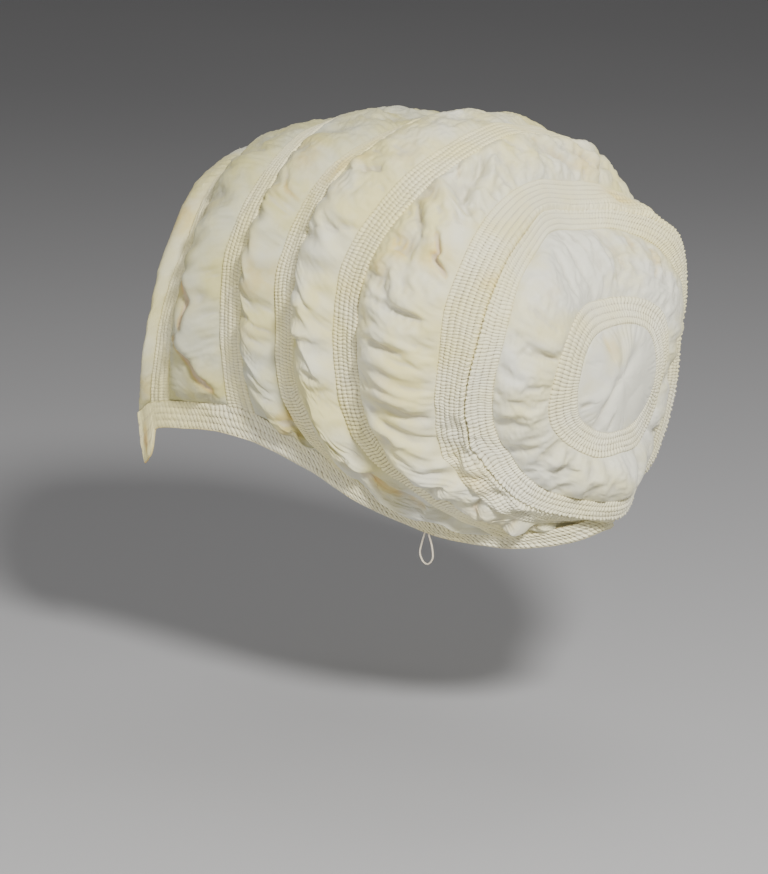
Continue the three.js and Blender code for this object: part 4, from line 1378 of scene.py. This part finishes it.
def yellowing(graph, share):
    """How yellow the cloth is at each place: the piece's own share, in uneven clouds."""
    broad = graph.range(graph.noise(22.0, 3.0, 0.55), 0.32, 0.68, -share, share)
    small = graph.range(graph.noise(75.0, 2.0, 0.5), 0.35, 0.65, -0.3 * share, 0.3 * share)
    warm = graph.math("ADD", graph.attribute("warm"), broad)
    return graph.range(graph.math("ADD", warm, small), 0.0, 1.0, smooth=False)


def silk_shader(graph):
    shader = graph.shader
    shader.inputs["Sheen Weight"].default_value = 0.12
    shader.inputs["Sheen Roughness"].default_value = 0.42
    shader.inputs["Sheen Tint"].default_value = (1.0, 0.97, 0.9, 1)
    shader.inputs["Specular IOR Level"].default_value = 0.32
    shader.inputs["Subsurface Weight"].default_value = 0.0


def puff_silk():
    graph = Graph("puff_silk")
    along, across = graph.cloth_axes()
    colour = graph.blend(yellowing(graph, 0.45), COOL_SILK, WARM_SILK)
    # Painted shade: puffs with nothing behind their cloth are darkened towards THIN_SHADE.
    colour = graph.blend(graph.attribute("thin"), colour, THIN_SHADE, "MULTIPLY")
    colour = stained_and_shaded_colour(graph, colour, graph.attribute("stain_and_shade"), graph.attribute("cavity"))
    graph.put(graph.shader.inputs["Base Color"], colour)
    slub = graph.noise(1.0, 3.0, 0.6, stretch=(0.25, 2.6, 1.0), source="UV")
    rumple = graph.noise(1.0, 3.0, 0.55, stretch=(0.22, 0.16, 1.0), source="UV")
    roughness = graph.range(slub, 0.2, 0.8, 0.50, 0.66)
    graph.put(graph.shader.inputs["Roughness"], roughness)
    normal = graph.bump(rumple, 0.0009, 0.4)
    normal = graph.bump(slub, 0.00012, 0.5, normal)
    normal = graph.bump(weave(graph, along, across), 0.00003, 0.35, normal)
    graph.put(graph.shader.inputs["Normal"], normal)
    silk_shader(graph)
    return graph.material


def corded_silk():
    graph = Graph("corded_silk")
    along, cord = graph.cloth_axes()
    phase = graph.attribute("phase")
    pull = graph.attribute("pull")
    stitched = graph.attribute("stitched")
    colour = graph.blend(yellowing(graph, 0.25), COOL_BAND, WARM_BAND)
    colour = stained_and_shaded_colour(graph, colour, graph.attribute("stain_and_shade"), graph.attribute("cavity"))
    ridge = graph.math("ABSOLUTE", graph.math("COSINE", graph.math("MULTIPLY", phase, 0.5)))
    crease = graph.math("MULTIPLY", graph.range(ridge, 0.0, 0.42, 1.0, 0.0), pull)
    # Painted shade in the troughs of the ruching, stronger where the cloth is drawn up harder.
    crease_shade = graph.math("MULTIPLY", graph.math("MULTIPLY", crease, pull), 0.36)
    colour = graph.blend(crease_shade, colour, CREASE_SHADE_BROWN)
    # Dark dashes on the lines of stitches between the cords: painted shade in the needle holes and the
    # stitched grooves, strongest in the ruching troughs.
    to_line = graph.math("ABSOLUTE", graph.math("SUBTRACT", graph.math("FRACT", graph.math(
        "ADD", cord, 0.5)), 0.5))
    line = graph.range(to_line, 0.05, 0.15, 1.0, 0.0)
    dash = graph.range(ridge, 0.35, 0.75, 1.0, 0.15)
    uneven = graph.range(graph.noise(230.0, 1.0), 0.3, 0.6, 0.35, 1.0)
    stitches = graph.math("MULTIPLY", graph.math("MULTIPLY", line, dash), graph.math(
        "MULTIPLY", stitched, uneven))
    colour = graph.blend(graph.math("MULTIPLY", stitches, 0.65), colour, STITCH_SHADE_BROWN)
    graph.put(graph.shader.inputs["Base Color"], colour)
    fine = graph.noise(1.0, 3.0, 0.6, stretch=(2.2, 3.0, 1.0), source="UV")
    graph.put(graph.shader.inputs["Roughness"], graph.range(fine, 0.2, 0.8, 0.54, 0.7))
    normal = graph.bump(graph.math("MULTIPLY", crease, -1.0), 0.0005, 0.8)
    normal = graph.bump(graph.math("MULTIPLY", stitches, -1.0), 0.0004, 0.8, normal)
    normal = graph.bump(fine, 0.00025, 0.5, normal)
    wide = graph.math("MULTIPLY", cord, CORD_PITCH)
    normal = graph.bump(weave(graph, along, wide), 0.00003, 0.35, normal)
    graph.put(graph.shader.inputs["Normal"], normal)
    silk_shader(graph)
    return graph.material


def sewing_thread():
    graph = Graph("sewing_thread")
    strand = graph.noise(2600.0, 2.0)
    colour = graph.blend(graph.range(strand, 0.35, 0.65), (0.52, 0.45, 0.33, 1), (0.74, 0.68, 0.55, 1))
    graph.put(graph.shader.inputs["Base Color"], colour)
    graph.put(graph.shader.inputs["Roughness"], graph.range(strand, 0.3, 0.7, 0.6, 0.8))
    graph.put(graph.shader.inputs["Normal"], graph.bump(strand, 0.0002, 0.7))
    return graph.material


# Stage, light and camera

FLOOR_DROP = 0.11
FLOOR_SIZE = 14.0


def add_camera():
    azimuth, elevation = np.radians(CAMERA_AZIMUTH), np.radians(CAMERA_ELEVATION)
    way = Vector((np.sin(azimuth) * np.cos(elevation), -np.cos(azimuth) * np.cos(elevation),
                  np.sin(elevation)))
    data = bpy.data.cameras.new("camera")
    data.lens = CAMERA_LENS
    data.sensor_width = 36.0
    data.sensor_fit = "AUTO"
    data.clip_end = 50.0
    camera = bpy.data.objects.new("camera", data)
    camera.location = Vector(CAMERA_AIM) + way * CAMERA_DISTANCE
    camera.rotation_euler = (-way).to_track_quat("-Z", "Y").to_euler()
    link(camera)
    bpy.context.scene.camera = camera


def add_floor():
    low = cad_box[0][2] - FLOOR_DROP
    mesh = bpy.data.meshes.new("floor")
    half = FLOOR_SIZE / 2
    mesh.from_pydata([(-half, -half, low), (half, -half, low), (half, half, low), (-half, half, low)],
                     [], [(0, 1, 2, 3)])
    floor = bpy.data.objects.new("floor", mesh)
    link(floor)
    graph = Graph("studio_floor")
    tone = graph.noise(1.2, 2.0)
    graph.put(graph.shader.inputs["Base Color"], graph.blend(
        tone, (0.40, 0.40, 0.415, 1), (0.44, 0.44, 0.45, 1)))
    graph.shader.inputs["Roughness"].default_value = 0.9
    mesh.materials.append(graph.material)


def add_light(name, offset, size, watts, colour):
    data = bpy.data.lights.new(name, "AREA")
    data.shape = "DISK"
    data.size = size
    data.energy = watts
    data.color = colour
    lamp = bpy.data.objects.new(name, data)
    lamp.location = Vector(LAMP_AIM) + Vector(offset)
    lamp.rotation_euler = (-Vector(offset)).to_track_quat("-Z", "Y").to_euler()
    link(lamp)


# Name, place from the lamps' aim, size in metres, watts and colour.
LIGHTS = [
    ("key", (0.76, 1.14, 0.9), 0.26, 42, (1.0, 0.985, 0.955)),
    ("fill", (1.4, -0.45, -0.08), 1.0, 12.5, (1.0, 0.985, 0.96)),
    ("top", (-0.6, -0.2, 1.6), 1.0, 6, (1.0, 0.99, 0.97)),
    ("back", (-0.9, 1.3, 0.45), 0.8, 4, (1.0, 0.99, 0.97)),
]
LAMP_AIM = (0.0, 0.0, -0.1)
WORLD_COLOUR, WORLD_STRENGTH = (1.0, 0.99, 0.98, 1), 0.16


def add_lights():
    for light in LIGHTS:
        add_light(*light)
    world = bpy.data.worlds.new("studio")
    world.use_nodes = True
    colour, strength = world.node_tree.nodes["Background"].inputs[:2]
    colour.default_value = WORLD_COLOUR
    strength.default_value = WORLD_STRENGTH
    bpy.context.scene.world = world


# The thread loop that hangs from the neck edge behind the wearer's left ear.

LOOP_THREAD, LOOP_DROP, LOOP_WIDTH, LOOP_AT = 1.0, 17, 9, 6.4
LOOP_SHAPE = [(-0.12, 0), (-0.35, 0.35), (-0.5, 0.7), (-0.25, 0.95),
              (0.1, 1), (0.45, 0.8), (0.42, 0.45), (0.16, 0.04)]
LOOP_POINTS = 40


def thread_loop(material):
    top = neck_point(LOOP_AT)
    top[0] -= neck_column(4, LOOP_AT)
    top[2] -= neck_column(3, LOOP_AT) + LOOP_THREAD
    route = np.array([top + (0, along * LOOP_WIDTH, -down * LOOP_DROP) for along, down in LOOP_SHAPE])
    route = spline(route, np.linspace(0, 1, LOOP_POINTS)) / METRE
    data = bpy.data.curves.new("hanging_thread", "CURVE")
    data.dimensions = "3D"
    data.bevel_depth = LOOP_THREAD / 2 / METRE
    data.bevel_resolution = 3
    data.use_fill_caps = True
    line = data.splines.new("POLY")
    line.points.add(LOOP_POINTS - 1)
    for point, place in zip(line.points, route):
        point.co = (*place, 1)
    piece = bpy.data.objects.new("hanging_thread", data)
    link(piece)
    data.materials.append(material)
    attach(piece, "root")
    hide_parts("thread_loop")


def build():
    add_camera()
    thread_loop(sewing_thread())
    soft, corded = puff_silk(), corded_silk()
    names = ["face_edge_puff", "corded_band_1", "puff_1", "corded_band_2", "puff_2",
             "corded_band_3", "puff_3", "corded_band_4", "puff_4", "crown_band"]
    for i, name in enumerate(names):
        seams = open_seams[i:i + 2]
        if name in PUFFS:
            puff_piece(name, seams, False, soft, 100 + i)
        else:
            band_piece(name, seams, False, corded, 200 + i, 1 if name == "crown_band" else None)
    band_piece("tip_band", closed_seams[0:2], True, corded, 301, 0)
    puff_piece("tip_puff", closed_seams[1:3], True, soft, 302)
    band_piece("tip_ring", closed_seams[2:4], True, corded, 303)
    centre_piece(soft, 304)
    neck_piece(corded, 305)
    add_floor()
    add_lights()


build()
